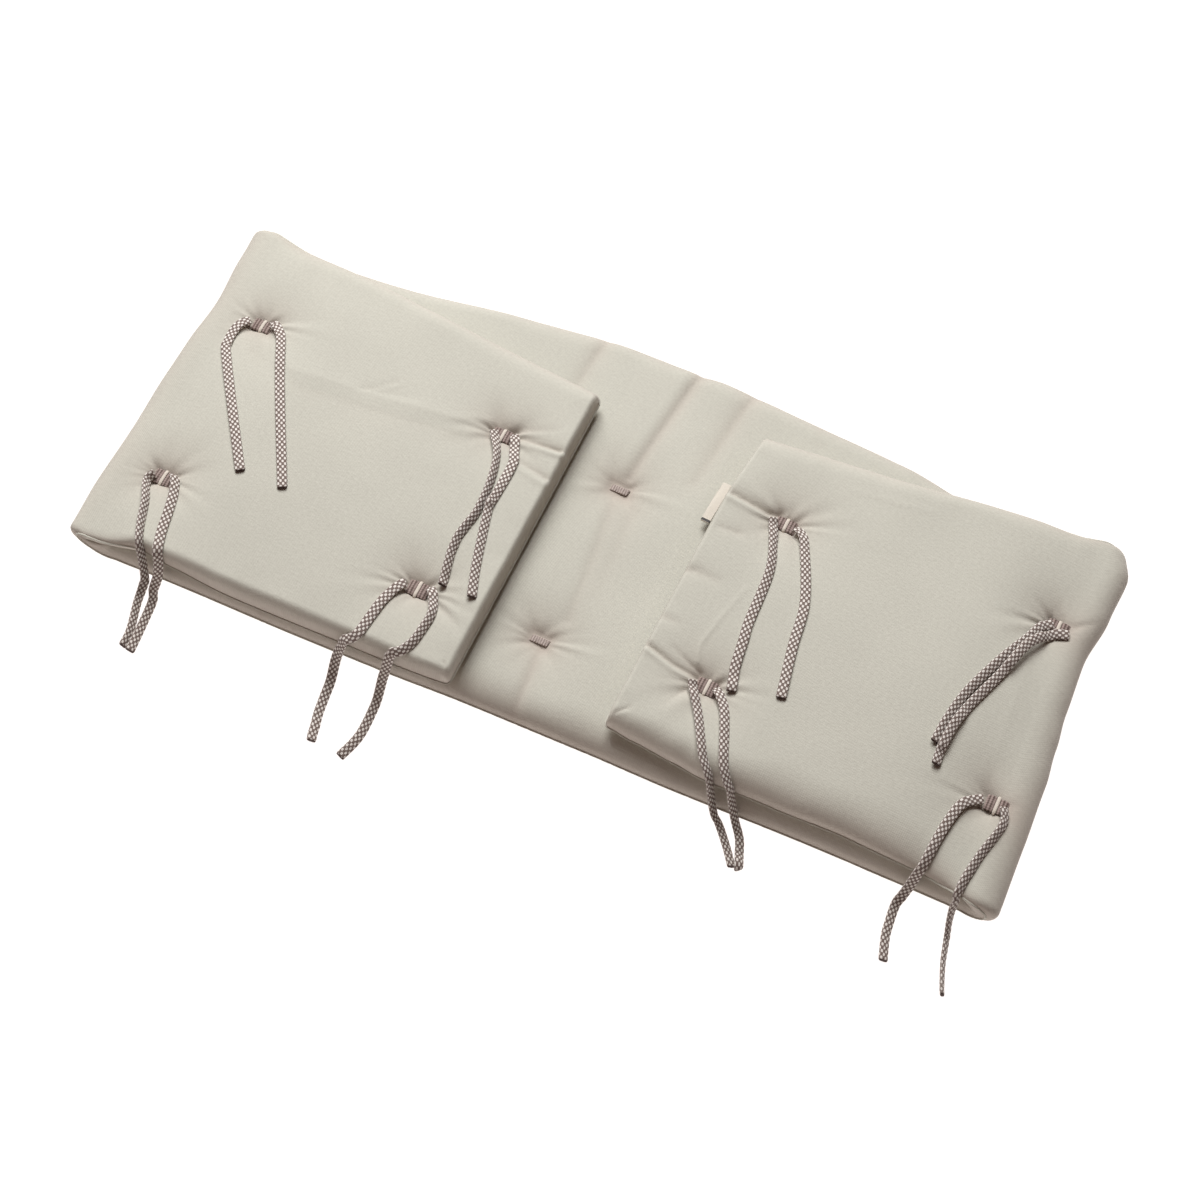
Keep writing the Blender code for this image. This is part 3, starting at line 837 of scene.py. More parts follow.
EVEN = (1.0, 1.0)
CREASES = {
    Face.OUTER: (
        # left folded end, round the inner far tie and to the free end
        Crease(((-733, 246), (-757, 255), (-771, 261)), 1.7, 2.6, 0.7),
        Crease(((-738, 241), (-752, 241), (-781, 242)), 2.6, 3.2, 1.1, (0.7, 1.2)),
        Crease(((-738, 228), (-754, 217), (-782, 211)), 1.5, 4.0, 0.8, (0.4, 1.1)),
        Crease(((-714, 240), (-700, 236), (-684, 228)), 1.2, 4.0, 0.6),
        # left folded end, round the inner near tie
        Crease(((-735, 66), (-749, 63), (-776, 48)), 1.6, 2.8, -0.7),
        Crease(((-736, 75), (-745, 78), (-773, 88)), -0.9, 3.5),
        # left folded end, the soft pull between its ties and the small crease above it
        Crease(((-475, 246), (-523, 217), (-595, 223), (-700, 235)), -1.1, 13.0, 0.0, (0.7, 1.0)),
        Crease(((-480, 222), (-540, 202), (-610, 208), (-690, 218)), 0.7, 12.0, 0.0, (0.7, 1.0)),
        Crease(((-592, 223), (-606, 233), (-619, 245)), 0.55, 1.8, 0.4, (0.4, 1.0)),
        Crease(((-596, 226), (-618, 230), (-642, 236)), 1.0, 8.0, 0.0, (1.0, 0.4)),
        # right folded end, round the inner far tie and to the free end
        Crease(((724, 249), (735, 244), (771, 246)), 2.8, 3.2, -1.1, (0.9, 1.0)),
        Crease(((705, 248), (701, 252), (694, 262)), -1.0, 3.0),
        Crease(((748, 212), (765, 210)), 1.2, 4.5, 0.0, (1.0, 0.7)),
        Crease(((745, 160), (765, 161), (773, 159)), 1.4, 4.0, 0.0, (0.5, 1.3)),
        Crease(((758, 109), (773, 109)), 1.3, 3.2, 0.0, (0.4, 1.2)),
        # right folded end, round the inner near tie and to the free end
        Crease(((724, 73), (745, 73), (772, 79)), 2.7, 2.8, -1.0, (0.8, 1.0)),
        Crease(((722, 78), (736, 81), (751, 87)), 1.9, 2.4, 0.0, (1.0, 0.3)),
        Crease(((719, 166), (728, 127), (733, 98), (728, 84)), -0.8, 1.8, 0.0, (0.4, 1.0)),
        Crease(((677, 296), (637, 301), (605, 307)), -0.4, 2.4, 0.0, (0.6, 1.0)),
        Crease(((727, 60), (733, 44), (741, 30)), 1.0, 2.8),
        # the short seams of the boxed corners
        Crease(((771, 11), (762, 20)), 1.1, 1.1, 0.0, EVEN),
        Crease(((-787, 5), (-779, 14)), 1.1, 1.1, 0.0, EVEN),
        # right folded end, puckers round the outer ties
        Crease(((468, 260), (478, 264), (490, 270)), 1.4, 2.4, 0.4),
        Crease(((464, 263), (470, 271), (474, 279)), 1.3, 2.4, 0.4),
        Crease(((452, 262), (448, 269), (443, 277)), 1.3, 2.6, -0.4),
        Crease(((464, 85), (470, 94), (473, 104)), 1.5, 4.0),
    ),
    Face.INNER: (
        # the middle: soft troughs across the pad where it has been folded, and tucks at its seams
        Crease(((27, 394), (22, 373), (6, 255)), 3.2, 6.0, -0.4, (1.0, 0.7)),
        Crease(((-70, 392), (-75, 349), (-78, 300)), 2.5, 7.0, 0.0, (1.0, 0.4)),
        Crease(((2, 230), (9, 170), (14, 100)), 1.5, 6.0, -0.3, (0.9, 0.6)),
        Crease(((12, 234), (23, 223), (27, 130)), 1.3, 8.0, 0.0, (1.0, 0.3)),
        Crease(((2, 66), (5, 38), (6, 4)), 2.6, 5.0, 0.0, (1.0, 0.8)),
        Crease(((80, 388), (73, 362), (62, 270)), 2.4, 8.0, 0.0, (1.0, 0.4)),
        Crease(((145, 374), (151, 353)), 0.9, 2.5, 0.3, (1.0, 0.6)),
        Crease(((-236, -2), (-234, 16)), 1.8, 3.0, 0.6, (1.0, 0.7)),
    ),
}


@dataclass(frozen=True)
class FlatPad:
    """The pad as sewn, flat, and the way it is folded.

    Its thickness, its far seam and the places of its bends and stitches are the solid's own. Its free ends,
    its near seam, its shoulders and the other heights and depths were set closer to the photograph. The
    tables go by place along the pad.

    Attributes:
        left, right: the two folded ends.
        centre_width: seam to seam at the tuft column.
        thick: one filled layer.
        layer_gap: air between the layers where an end is folded over.
        far_slope, far_round: how fast the far seam falls beyond its arch, and how round the arch is.
        flare_reach: reach of a flare along the pad.
        bow_reach: reach of a bow along the pad.
        pull_reach: reach of a pull, from the corner.
        overhang_reach: reach of an overhang along and across the pad.
        overhang_base: share of it by which that whole corner is drawn in.
        turn_pivot: a folded end turns about this place of its bend.
        near_shoulder: width over which the pad thins down to its near seam.
        far_shoulder, bend_shoulder, end_shoulder: the same at its far seam, at a bend and at a free end.
        shoulder_power: 2 is an elliptical shoulder, more is blunter.
        corner_round: radius of the free ends' corners.
        crown: extra fullness in the middle of a cloth.
        stitches, tufts: the rows of stitches in the outer and in the inner cloth.
        tie_depth, tuft_depth: how far they pull it down.
        tape_half: half the length and width of the flat place under a tape.
        near_lift, far_lift: how far the long seams lie off the mid-surface, + towards the inner cloth.
        end_lift: the same for the free ends' seams.
        near_wave: how far the near seam is drawn in.
        far_wave: how far the far seam stands out.
    """

    left: PadEnd = PadEnd(
        787.8 * MM, 396 * MM, -0.85, 5 * MM, 10 * MM, 0.0,
        ((0.0, 0.05, 0.115, 0.17, 0.215, 0.265, 0.32, 0.36), (-2.5, -0.5, -1.8, -0.5, -1.0, -4.0, 0.0, 1.5)))
    right: PadEnd = PadEnd(
        776.5 * MM, 411 * MM, 2.5, 7 * MM, 0.0, 6 * MM,
        ((0.0, 0.06, 0.12, 0.155, 0.19, 0.24, 0.29, 0.33, 0.36),
         (5.5, 4.5, 3.0, 0.0, -3.0, -4.5, 2.0, 4.5, -6.0)))
    centre_width: float = 390 * MM
    thick: float = 27 * MM
    layer_gap: float = 1.5 * MM
    far_slope: float = 0.105
    far_round: float = 80 * MM
    flare_reach: float = 34 * MM
    bow_reach: float = 70 * MM
    pull_reach: float = 48 * MM
    overhang_reach: tuple[float, float] = (38 * MM, 42 * MM)
    overhang_base: float = 0.4
    turn_pivot: float = 170 * MM
    near_shoulder: Table = (
        (-0.79, -0.50, -0.44, -0.40, -0.25, 0.0, 0.25, 0.42, 0.47, 0.62, 0.72, 0.78),
        (9.0, 9.0, 14.0, 26.0, 28.0, 32.0, 32.0, 32.0, 36.0, 32.0, 20.0, 13.0))
    far_shoulder: float = 19 * MM
    bend_shoulder: float = 7 * MM
    end_shoulder: float = 5 * MM
    shoulder_power: float = 2.3
    corner_round: float = 4 * MM
    crown: float = 3.2 * MM
    stitches: tuple[Stitch, ...] = (
        Stitch("left_outer_near", -471.1, 76.2), Stitch("left_outer_far", -472.1, 254.2),
        Stitch("left_inner_near", -726.9, 69.2), Stitch("left_inner_far", -726.1, 238.9),
        Stitch("right_inner_near", 712.3, 69.0), Stitch("right_inner_far", 715.5, 241.3),
        Stitch("right_outer_near", 458.8, 79.3), Stitch("right_outer_far", 464.0, 256.1))
    tufts: tuple[Stitch, ...] = (Stitch("near", -1.7, 75.5), Stitch("far", 2.1, 241.0))
    tie_depth: float = 11.5 * MM
    tuft_depth: float = 9.5 * MM
    tape_half: tuple[float, float] = (8.5 * MM, 5.0 * MM)
    near_lift: Table = (
        (-0.79, -0.765, -0.57, -0.50, -0.46, -0.425, -0.40, -0.37, 0.0, 0.38, 0.41, 0.433, 0.455, 0.48, 0.55,
         0.70, 0.75, 0.78),
        (5.0, 8.0, 8.5, 3.0, 1.0, -2.0, -4.0, -8.0, -8.0, -8.0, -5.0, -4.0, 2.0, 7.0, 9.0, 9.0, 7.5, 4.0))
    far_lift: Table = (
        (-0.79, -0.72, -0.48, -0.44, -0.42, -0.40, -0.37, 0.0, 0.38, 0.41, 0.433, 0.455, 0.48, 0.70, 0.78),
        (1.0, 1.0, 0.0, -2.0, -3.0, -2.0, 0.0, 0.0, 0.0, -3.0, -4.0, -2.0, 0.0, 1.0, 1.0))
    end_lift: float = 4.5 * MM
    near_wave: Table = (
        (-0.787, -0.73, -0.585, -0.52, -0.487, -0.455, -0.40, -0.32, -0.20, -0.12, -0.04, 0.07, 0.15, 0.27,
         0.38, 0.43, 0.50, 0.56, 0.62, 0.685, 0.71, 0.75, 0.77),
        (4.0, 2.5, 1.1, 3.5, 6.5, 0.5, 3.0, 2.0, 0.5, 0.5, 2.0, 1.5, 0.0, 1.0,
         -0.5, 0.0, 2.0, 3.5, 0.5, -2.2, 0.0, 2.2, 3.5))
    far_wave: Table = (
        (-0.78, -0.56, -0.44, -0.36, -0.26, -0.15, -0.07, 0.02, 0.05, 0.12, 0.23, 0.31, 0.36, 0.44, 0.52,
         0.66, 0.78),
        (0.0, 0.5, -3.5, -4.0, -7.5, -3.0, -1.5, -4.0, -2.0, -3.0, -2.5, -10.0, -7.0, -2.0, 4.0, 0.0, 0.0))

    @property
    def bend_radius(self) -> float:
        """Radius of the mid-surface where the pad turns back."""
        return (self.thick + self.layer_gap) / 2

    @property
    def bend_length(self) -> float:
        """Length of mid-surface in a bend."""
        return np.pi * self.bend_radius

    def pick(self, u: Array, what: str) -> Array:
        """Read one size of the left or the right end, whichever u is in."""
        return np.where(u > 0, getattr(self.right, what), getattr(self.left, what))

    def beyond(self, u: Array) -> Array:
        """How far past the start of its bend a place is."""
        return np.abs(u) - self.pick(u, "base")

    def to_end(self, u: Array) -> Array:
        """How far it is to the free end."""
        return self.pick(u, "length") - np.abs(u)

    def at_bend(self, u: Array) -> Array:
        """A bell that is 1 on the upper half of each bend and 0 away from it."""
        return bell((self.beyond(u) - self.bend_length * 0.6) / self.flare_reach)

    def near_edge(self, u: Array) -> Array:
        """The near seam's y: a straight line that wavers, and stands out at the bends."""
        return smooth_table(self.near_wave, u) - self.pick(u, "flare") * self.at_bend(u)

    def far_edge(self, u: Array) -> Array:
        """The far seam's line: a rounded peak over the tuft column that falls evenly to both ends, wavering.

        Args:
            u: places along the pad.

        Returns:
            The seam's y there.
        """
        fall = self.far_slope * (np.hypot(u, self.far_round) - self.far_round)
        flare = self.pick(u, "flare") * self.at_bend(u)
        return self.centre_width - fall + smooth_table(self.far_wave, u) + flare

    def edges(self, u: Array) -> tuple[Array, Array]:
        """Both seams' lines with the free ends' corners rounded off.

        Args:
            u: places along the pad.

        Returns:
            The near seam's y and the far seam's y.
        """
        left_over = np.clip(self.to_end(u) / self.corner_round, 0, 1)
        cut = self.corner_round * (1 - np.sqrt(1 - (1 - left_over) ** 2))
        return self.near_edge(u) + cut, self.far_edge(u) - cut

    def fold(self, u: Array, y: Array, lift: Array) -> Array:
        """Lay the flat pad down.

        The middle lies flat, and each end goes round a half circle and back, and turns a little about a pivot
        in its bend. The bend bows in and out by a table across the pad, and the far corner of the free end is
        drawn back as a bell of its distance. At the near edge the bend is sheared by minus the cosine of the
        way round it, so that its upper half juts out.

        Args:
            u: places along the pad.
            y: places across it.
            lift: height over the mid-surface, + towards the inner cloth.

        Returns:
            Places in the frame of the solids.
        """
        base, beyond, radius = self.pick(u, "base"), self.beyond(u), self.bend_radius
        angle = np.clip(beyond / radius, 0, np.pi)
        out = (np.minimum(np.abs(u), base) + radius * np.sin(angle)
               - np.clip(beyond - self.bend_length, 0, None) - lift * np.sin(angle))
        z = self.thick / 2 + radius * (1 - np.cos(angle)) + lift * np.cos(angle)
        swing = np.radians(self.pick(u, "turn")) * ease(angle / np.pi)
        along, aside = out - base, y - self.turn_pivot
        out = base + along * np.cos(swing) + aside * np.sin(swing)
        y_new = self.turn_pivot + aside * np.cos(swing) - along * np.sin(swing)
        bow = np.where(u > 0, smooth_table(self.right.bow, y), smooth_table(self.left.bow, y))
        from_bend = beyond - self.bend_length / 2
        to_corner = np.hypot(self.to_end(u), self.far_edge(u) - y)
        reach_u, reach_y = self.overhang_reach
        at_corner = bell(np.hypot(from_bend / reach_u, np.clip(y, 0, None) / reach_y))
        out = out + bow * bell(from_bend / self.bow_reach)
        out = out + self.pick(u, "pull") * bell(to_corner / self.pull_reach)
        out = out - self.pick(u, "overhang") * (np.cos(angle) + self.overhang_base) * at_corner
        return np.stack([np.sign(u) * out, y_new, z], axis=-1) - MIDDLE


@dataclass(frozen=True)
class PaddedRelief:
    """How far each cloth stands off the pad's mid-surface: filling, seams, dimples, creases and unevenness.

    Attributes:
        pad: the flat pad.
        dimple_core, dimple_skirt: reach of the steep part of a dimple and of its wide soft part.
        core_share: the steep part's share of the depth.
        ray: depth of the small folds that run out from a row of stitches.
        ray_reach: distance from the tape at which they are deepest.
        ray_counts: how many folds go round, for each of the waves that add up to them.
        bend_sag, sag_reach: how much lower the cloth is where it comes up out of a bend, and how far on.
        corner_sag: how much lower still at the bend's near corner.
        corner_reach: how far that goes along the pad and across it.
        shown_from: length of folded end over which its dimples and crown set in.
        middle_shown: middle, half length and fade of the inner cloth that shows between the folded ends.
        crease_gain: how much deeper than listed the creases are drawn.
        pucker, pucker_reach: depth of the small folds along the seams, and how far they run in.
        swell_height, ripple_height: how uneven the filling is, in wide and in small waves.
        calm_depth: depth of a dimple at which the cloth is pulled smooth.
        hollow_painted_shade, crease_painted_shade, side_painted_shade: how much painted shade a dimple, a
        deep crease and a side get, in the cotton's fold colour.
        swell, ripple, seam_noise, shoulder_noise: the waves themselves.
    """

    pad: FlatPad
    dimple_core: float = 7.0 * MM
    dimple_skirt: float = 31 * MM
    core_share: float = 0.62
    ray: float = 1.0 * MM
    ray_reach: float = 8.5 * MM
    ray_counts: tuple[int, ...] = (5, 7, 8, 10, 12)
    bend_sag: float = 8.0 * MM
    sag_reach: float = 46 * MM
    corner_sag: float = 3.0 * MM
    corner_reach: tuple[float, float] = (70 * MM, 60 * MM)
    shown_from: float = 30 * MM
    middle_shown: Place = (17 * MM, 95 * MM, 35 * MM)
    crease_gain: float = 1.3
    pucker: float = 0.75 * MM
    pucker_reach: float = 5.5 * MM
    swell_height: float = 0.55 * MM
    ripple_height: float = 0.13 * MM
    calm_depth: float = 2.5 * MM
    # Painted shade: how strongly dimples, creases and sides take the darker fold colour.
    hollow_painted_shade: float = 0.85
    crease_painted_shade: float = 0.4
    side_painted_shade: float = 0.7
    swell: SoftNoise = SoftNoise(3, (75 * MM, 62 * MM))
    ripple: SoftNoise = SoftNoise(8, (26 * MM, 22 * MM))
    seam_noise: SoftNoise = SoftNoise(12, (15 * MM, 300 * MM))
    shoulder_noise: SoftNoise = SoftNoise(21, (42 * MM, 300 * MM))

    def to_seams(self, u: Array, y: Array) -> tuple[Array, Array, Array]:
        """Distances to the near seam, the far seam and the free end."""
        near, far = self.pad.edges(u)
        return y - near, far - y, self.pad.to_end(u)

    def shoulders(self, u: Array, y: Array) -> list[Array]:
        """Share of the full thickness that the near seam, the far seam and the free end each leave.

        Each is a superellipse of the distance to the seam, 0 at it and 1 from its reach on. The long seams'
        reaches are a little uneven.

        Args:
            u: places along the pad.
            y: places across it.

        Returns:
            The three shares.
        """
        pad, power = self.pad, self.pad.shoulder_power
        uneven, at_bend = 1 + 0.22 * self.shoulder_noise.at(u, y), pad.at_bend(u)
        reaches = [(inside * (1 - at_bend) + pad.bend_shoulder * at_bend) * uneven
                   for inside in (smooth_table(pad.near_shoulder, u), pad.far_shoulder)] + [pad.end_shoulder]
        gaps = [1 - np.clip(distance / reach, 0, 1) for distance, reach in zip(self.to_seams(u, y), reaches)]
        return [(1 - gap ** power) ** (1 / power) for gap in gaps]

    def rim_lift(self, u: Array, y: Array) -> Array:
        """How far the cloths are shifted off the mid-surface by seams that lie high or low.

        The long seams go by tables, the free ends by one height, and each fades inwards as its shoulder does.

        Args:
            u: places along the pad.
            y: places across it.

        Returns:
            Heights in metres, + towards the inner cloth.
        """
        pad = self.pad
        near, far, end = self.shoulders(u, y)
        sides = smooth_table(pad.near_lift, u) * (1 - near) + smooth_table(pad.far_lift, u) * (1 - far)
        return sides * end + pad.end_lift * (1 - end)

    def from_tape(self, u: Array, y: Array, stitch: Stitch) -> Array:
        """Distance to the edge of a tape."""
        return np.hypot(*(np.clip(np.abs(place - middle) - half, 0, None)
                          for place, middle, half in zip((u, y), stitch.spot, self.pad.tape_half)))

    def dimple(self, u: Array, y: Array, stitch: Stitch) -> Array:
        """The hollow round one row of stitches, as a share of its depth.

        It is flat under the tape. Outside it the share is the sum of a steep exponential and a wide bell of
        the distance to the tape's edge.

        Args:
            u: places along the pad.
            y: places across it.
            stitch: the row of stitches.

        Returns:
            Shares from 0 to 1.
        """
        away = self.from_tape(u, y, stitch)
        steep = self.core_share * np.exp(-(away / self.dimple_core) ** POINTED)
        return steep + (1 - self.core_share) * bell(away / self.dimple_skirt)

    def rays(self, u: Array, y: Array, stitch: Stitch) -> Array:
        """The small folds that run out from one row of stitches.

        Round the tape the depth is a sum of cosines of a few times the bearing, with random phases. Away from
        it that is scaled by a hump of the distance, over a reach that differs by bearing.

        Args:
            u: places along the pad.
            y: places across it.
            stitch: the row of stitches.

        Returns:
            Depths in metres, above and below 0.
        """
        middle_u, middle_y = stitch.spot
        bearing = np.arctan2(y - middle_y, 0.55 * (u - middle_u))
        chance = np.random.default_rng(int(abs(middle_u * 1e4) + middle_y * 1e4))
        folds = sum(chance.uniform(0.3, 1.0) * np.cos(k * bearing + chance.uniform(0, 2 * np.pi))
                    for k in self.ray_counts) / 2
        reach = self.ray_reach * (1 + 0.5 * np.cos(3 * bearing + chance.uniform(0, 2 * np.pi)))
        return self.ray * folds * hump(self.from_tape(u, y, stitch) / reach)

    def pulls(self, face: Face) -> tuple[tuple[Stitch, ...], float]:
        """The rows of stitches in one cloth, and how deep they pull it."""
        pad = self.pad
        return (pad.stitches, pad.tie_depth) if face is Face.OUTER else (pad.tufts, pad.tuft_depth)

    def tone(self, face: Face, u: Array, y: Array) -> Array:
        """Share of painted shade at a place: in a dimple, in a deep crease and down a side other than a
        bend's.

        Args:
            face: which cloth.
            u: places along the pad.
            y: places across it.

        Returns:
            Shares from 0 to 1.
        """
        drawn = np.clip(sum(self.dimple(u, y, stitch) for stitch in self.pulls(face)[0]), 0, 1)
        creased = np.clip(sum(crease.sink(u, y) for crease in CREASES[face]) / (2 * MM), 0, 1)
        round_bend = bell((self.pad.beyond(u) / self.pad.bend_length - 0.45) / 0.3)
        side = 1 - np.prod(self.shoulders(u, y), axis=0) ** 2 * (1 - 0.75 * round_bend)
        hollow = self.hollow_painted_shade * drawn ** 1.3
        return 1 - (1 - hollow) * (1 - self.crease_painted_shade * creased) * (1 - self.side_painted_shade * side)

    def outer_shape(self, u: Array, to_near: Array) -> tuple[Array, Array]:
        """How the outer cloth sets in beyond a bend.

        Args:
            u: places along the pad.
            to_near: distances to the near seam.

        Returns:
            How much of its dimples and crown shows, and how far it sags.
        """
        bend = self.pad.bend_length
        past = self.pad.beyond(u) - bend
        shown = np.clip((past + bend * 0.25) / self.shown_from, 0, 1)
        on = np.clip(past, 0, None)
        corner = np.hypot(on / self.corner_reach[0], to_near / self.corner_reach[1])
        sag = self.bend_sag * bell(on / self.sag_reach) + self.corner_sag * bell(corner)
        return shown, ease(np.clip(1 + past / (0.5 * bend), 0, 1)) * sag

    def stand_off(self, face: Face, u: Array, y: Array) -> Array:
        """Height of one cloth over the mid-surface.

        Args:
            face: which cloth.
            u: places along the pad.
            y: places across it.

        Returns:
            Heights in metres, above 0 away from the mid-surface.
        """
        to_near, to_far, to_end = self.to_seams(u, y)
        to_side = np.minimum(to_near, to_far)
        if face is Face.OUTER:
            shown, sag = self.outer_shape(u, to_near)
        else:
            middle, half, fade = self.middle_shown
            shown, sag = np.clip((half - np.abs(u - middle)) / fade, 0, 1), 0.0
        crown = self.pad.crown * np.clip(1 - ((to_near - to_far) / (to_near + to_far)) ** 2, 0, 1)
        stitches, depth = self.pulls(face)
        drawn = sum(depth * self.dimple(u, y, stitch) + self.rays(u, y, stitch) for stitch in stitches)
        creased = self.crease_gain * sum(crease.sink(u, y) for crease in CREASES[face])
        along = np.where(to_side < to_end, u, y + 2.0) + 3.0 * face.value
        puckers = (self.pucker * self.seam_noise.at(along, y * 0)
                   * hump(np.minimum(to_side, to_end) / self.pucker_reach))
        uneven = self.swell_height * self.swell.at(u, y) + self.ripple_height * self.ripple.at(
            u + 0.2 * face.value, y)
        calm = (1 - np.clip(drawn / self.calm_depth, 0, 1)) * np.maximum(shown, 0.25)
        visible = (crown - drawn) * shown - sag - creased + puckers + uneven * calm
        return np.prod(self.shoulders(u, y), axis=0) * (self.pad.thick / 2 + visible)


# ------------------------------------------------------------------------------------------- the pieces
@dataclass
class PadCloth:
    """The pad's two cloths, sewn along their rim into one closed skin.

    Attributes:
        relief: the pad and its relief.
        finish: the cloth's finish.
        lines: the grid's lines along the pad, as shares of its width.
        stations: the grid's places along the pad, for each cloth.
    """

    relief: PaddedRelief
    finish: BasketCotton
    lines: Array = field(init=False)
    stations: dict = field(init=False)

    def __post_init__(self) -> None:
        """Choose how finely each cloth is divided: close where it shows and is creased, wide where hidden."""
        pad = self.relief.pad

        def line_step(v: Array) -> Array:
            """Choose the lines' spacing, closer at the seams and the two rows of ties.

            Args:
                v: shares of the pad's width.

            Returns:
                Spacings, as shares of the width.
            """
            at_row = np.minimum(np.abs(v - 0.20), np.abs(v - 0.70)) < 0.075
            at_seam = np.minimum(v, 1 - v) < 0.05
            return np.where(at_seam, 0.0045, np.where(at_row, 0.0040, 0.0086))

        def outer_step(u: Array) -> Array:
            """Choose the spacing across the outer cloth, closer at the ties and the free ends.

            Args:
                u: places along the pad.

            Returns:
                Spacings in metres.
            """
            beyond = pad.beyond(u)
            at_tie = np.min([np.abs(u - stitch.spot[0]) for stitch in pad.stitches], axis=0) < 26 * MM
            step = np.where(beyond < -6 * MM, 17.0, np.where(beyond < pad.bend_length + 4 * MM, 2.4, 3.1))
            return np.where(at_tie | (pad.to_end(u) < 15 * MM), 1.5, step) * MM

        def inner_step(u: Array) -> Array:
            """Choose the spacing across the inner cloth, closer in the middle, the bends and one tuck.

            Args:
                u: places along the pad.

            Returns:
                Spacings in metres.
            """
            away, beyond = np.abs(u - 17 * MM), pad.beyond(u)
            step = np.where(away < 100 * MM, 2.8, np.where(away < 330 * MM, 6.5, 16.0))
            bent = (beyond > -8 * MM) & (beyond < pad.bend_length + 8 * MM)
            tuck = np.abs(u + 235 * MM) < 12 * MM
            return np.where(bent, 3.6, np.where(tuck, 2.2, step)) * MM

        ends = (-pad.left.length, pad.right.length)
        self.lines = spread(0.0, 1.0, line_step)
        self.stations = {Face.OUTER: spread(*ends, outer_step), Face.INNER: spread(*ends, inner_step)}

    def rim(self) -> tuple[Array, Array]:
        """The sewn rim as one loop of flat places: near seam, right end, far seam, left end.

        Returns:
            u and y of the loop's points.
        """
        along = np.unique(np.round(np.concatenate(list(self.stations.values())), 6))
        along = along[np.r_[True, np.diff(along) > 0.4 * MM]]
        across = self.lines[1:-1]
        u = np.concatenate([along, np.full(len(across), along[-1]), along[::-1],
                            np.full(len(across), along[0])])
        v = np.concatenate([np.zeros(len(along)), across, np.ones(len(along)), across[::-1]])
        near, far = self.relief.pad.edges(u)
        return u, near + (far - near) * v

    @staticmethod
    def zip_strip(rim_u: Array, rim_ids: Array, row_u: Array, row_ids: Array) -> Array:
        """Join a finely divided rim to a coarser row beside it.

        Each rim edge goes to the closest point of the row, and each row edge to the rim point where the
        closest one changes.

        Args:
            rim_u: the rim's places, rising.
            rim_ids: its vertex numbers.
            row_u: the row's places, rising, with the rim's ends.
            row_ids: its vertex numbers.

        Returns:
            Triangles, facing up where u runs right and the row lies beyond the rim.
        """
        middle = (rim_u[:-1] + rim_u[1:]) / 2
        closest = np.clip(np.searchsorted((row_u[:-1] + row_u[1:]) / 2, middle - 1e-9), 0, len(row_u) - 1)
        rim_edges = np.stack([rim_ids[:-1], rim_ids[1:], row_ids[closest]], axis=-1)
        spots = np.searchsorted(closest, np.arange(1, len(row_u)))
        return np.concatenate([rim_edges, np.stack([row_ids[1:], row_ids[:-1], rim_ids[spots]], axis=-1)])

    def build(self) -> Piece:
        """Make the skin: two grids that share one rim.

        Returns:
            The piece.
        """
        relief, pad = self.relief, self.relief.pad
        rim_u, rim_y = self.rim()
        lines = self.lines[1:-1]
        along = (len(rim_u) - 2 * len(lines)) // 2
        near_ids, far_ids = np.arange(along), along + len(lines) + np.arange(along)[::-1]
        right_ids = along + np.arange(len(lines))
        left_ids = (2 * along + len(lines) + np.arange(len(lines)))[::-1]
        points = [pad.fold(rim_u, rim_y, relief.rim_lift(rim_u, rim_y))]
        # Painted shade: the rim gets 0.8 of it along the seam, and each grid point its own share.
        maps, painted_shades, faces = [np.stack([rim_u, rim_y], axis=-1)], [np.full(len(rim_u), 0.8)], []
        for face, stations in self.stations.items():
            u, v = np.meshgrid(stations[1:-1], lines, indexing="ij")
            near, far = pad.edges(u)
            y = near + (far - near) * v
            ids = sum(len(block) for block in points) + np.arange(u.size).reshape(u.shape)
            height = relief.stand_off(face, u, y) * face.value + relief.rim_lift(u, y)
            points.append(pad.fold(u, y, height).reshape(-1, 3))
            maps.append(np.stack([u, y], axis=-1).reshape(-1, 2))
            painted_shades.append(relief.tone(face, u, y).ravel())
            ids = np.vstack([left_ids, ids, right_ids])
            quads = np.stack([ids[:-1, :-1], ids[1:, :-1], ids[1:, 1:], ids[:-1, 1:]], axis=-1).reshape(-1, 4)
            row_u = np.r_[rim_u[0], stations[1:-1], rim_u[along - 1]]
            near_strip = self.zip_strip(rim_u[:along], near_ids, row_u, ids[:, 0])
            far_strip = self.zip_strip(rim_u[:along], far_ids, row_u, ids[:, -1])[:, ::-1]
            for block in (quads, near_strip, far_strip):
                faces.append(block if face is Face.INNER else block[:, ::-1])
        material = self.finish.material()
        piece = new_piece("pad_cloth", np.concatenate(points), faces, material, np.concatenate(maps))
        # The painted shade is stored as the "fold" attribute that the cotton reads.
        mark_points(piece, "fold", np.concatenate(painted_shades))
        enrol(piece, "bumper_pad")
        return piece


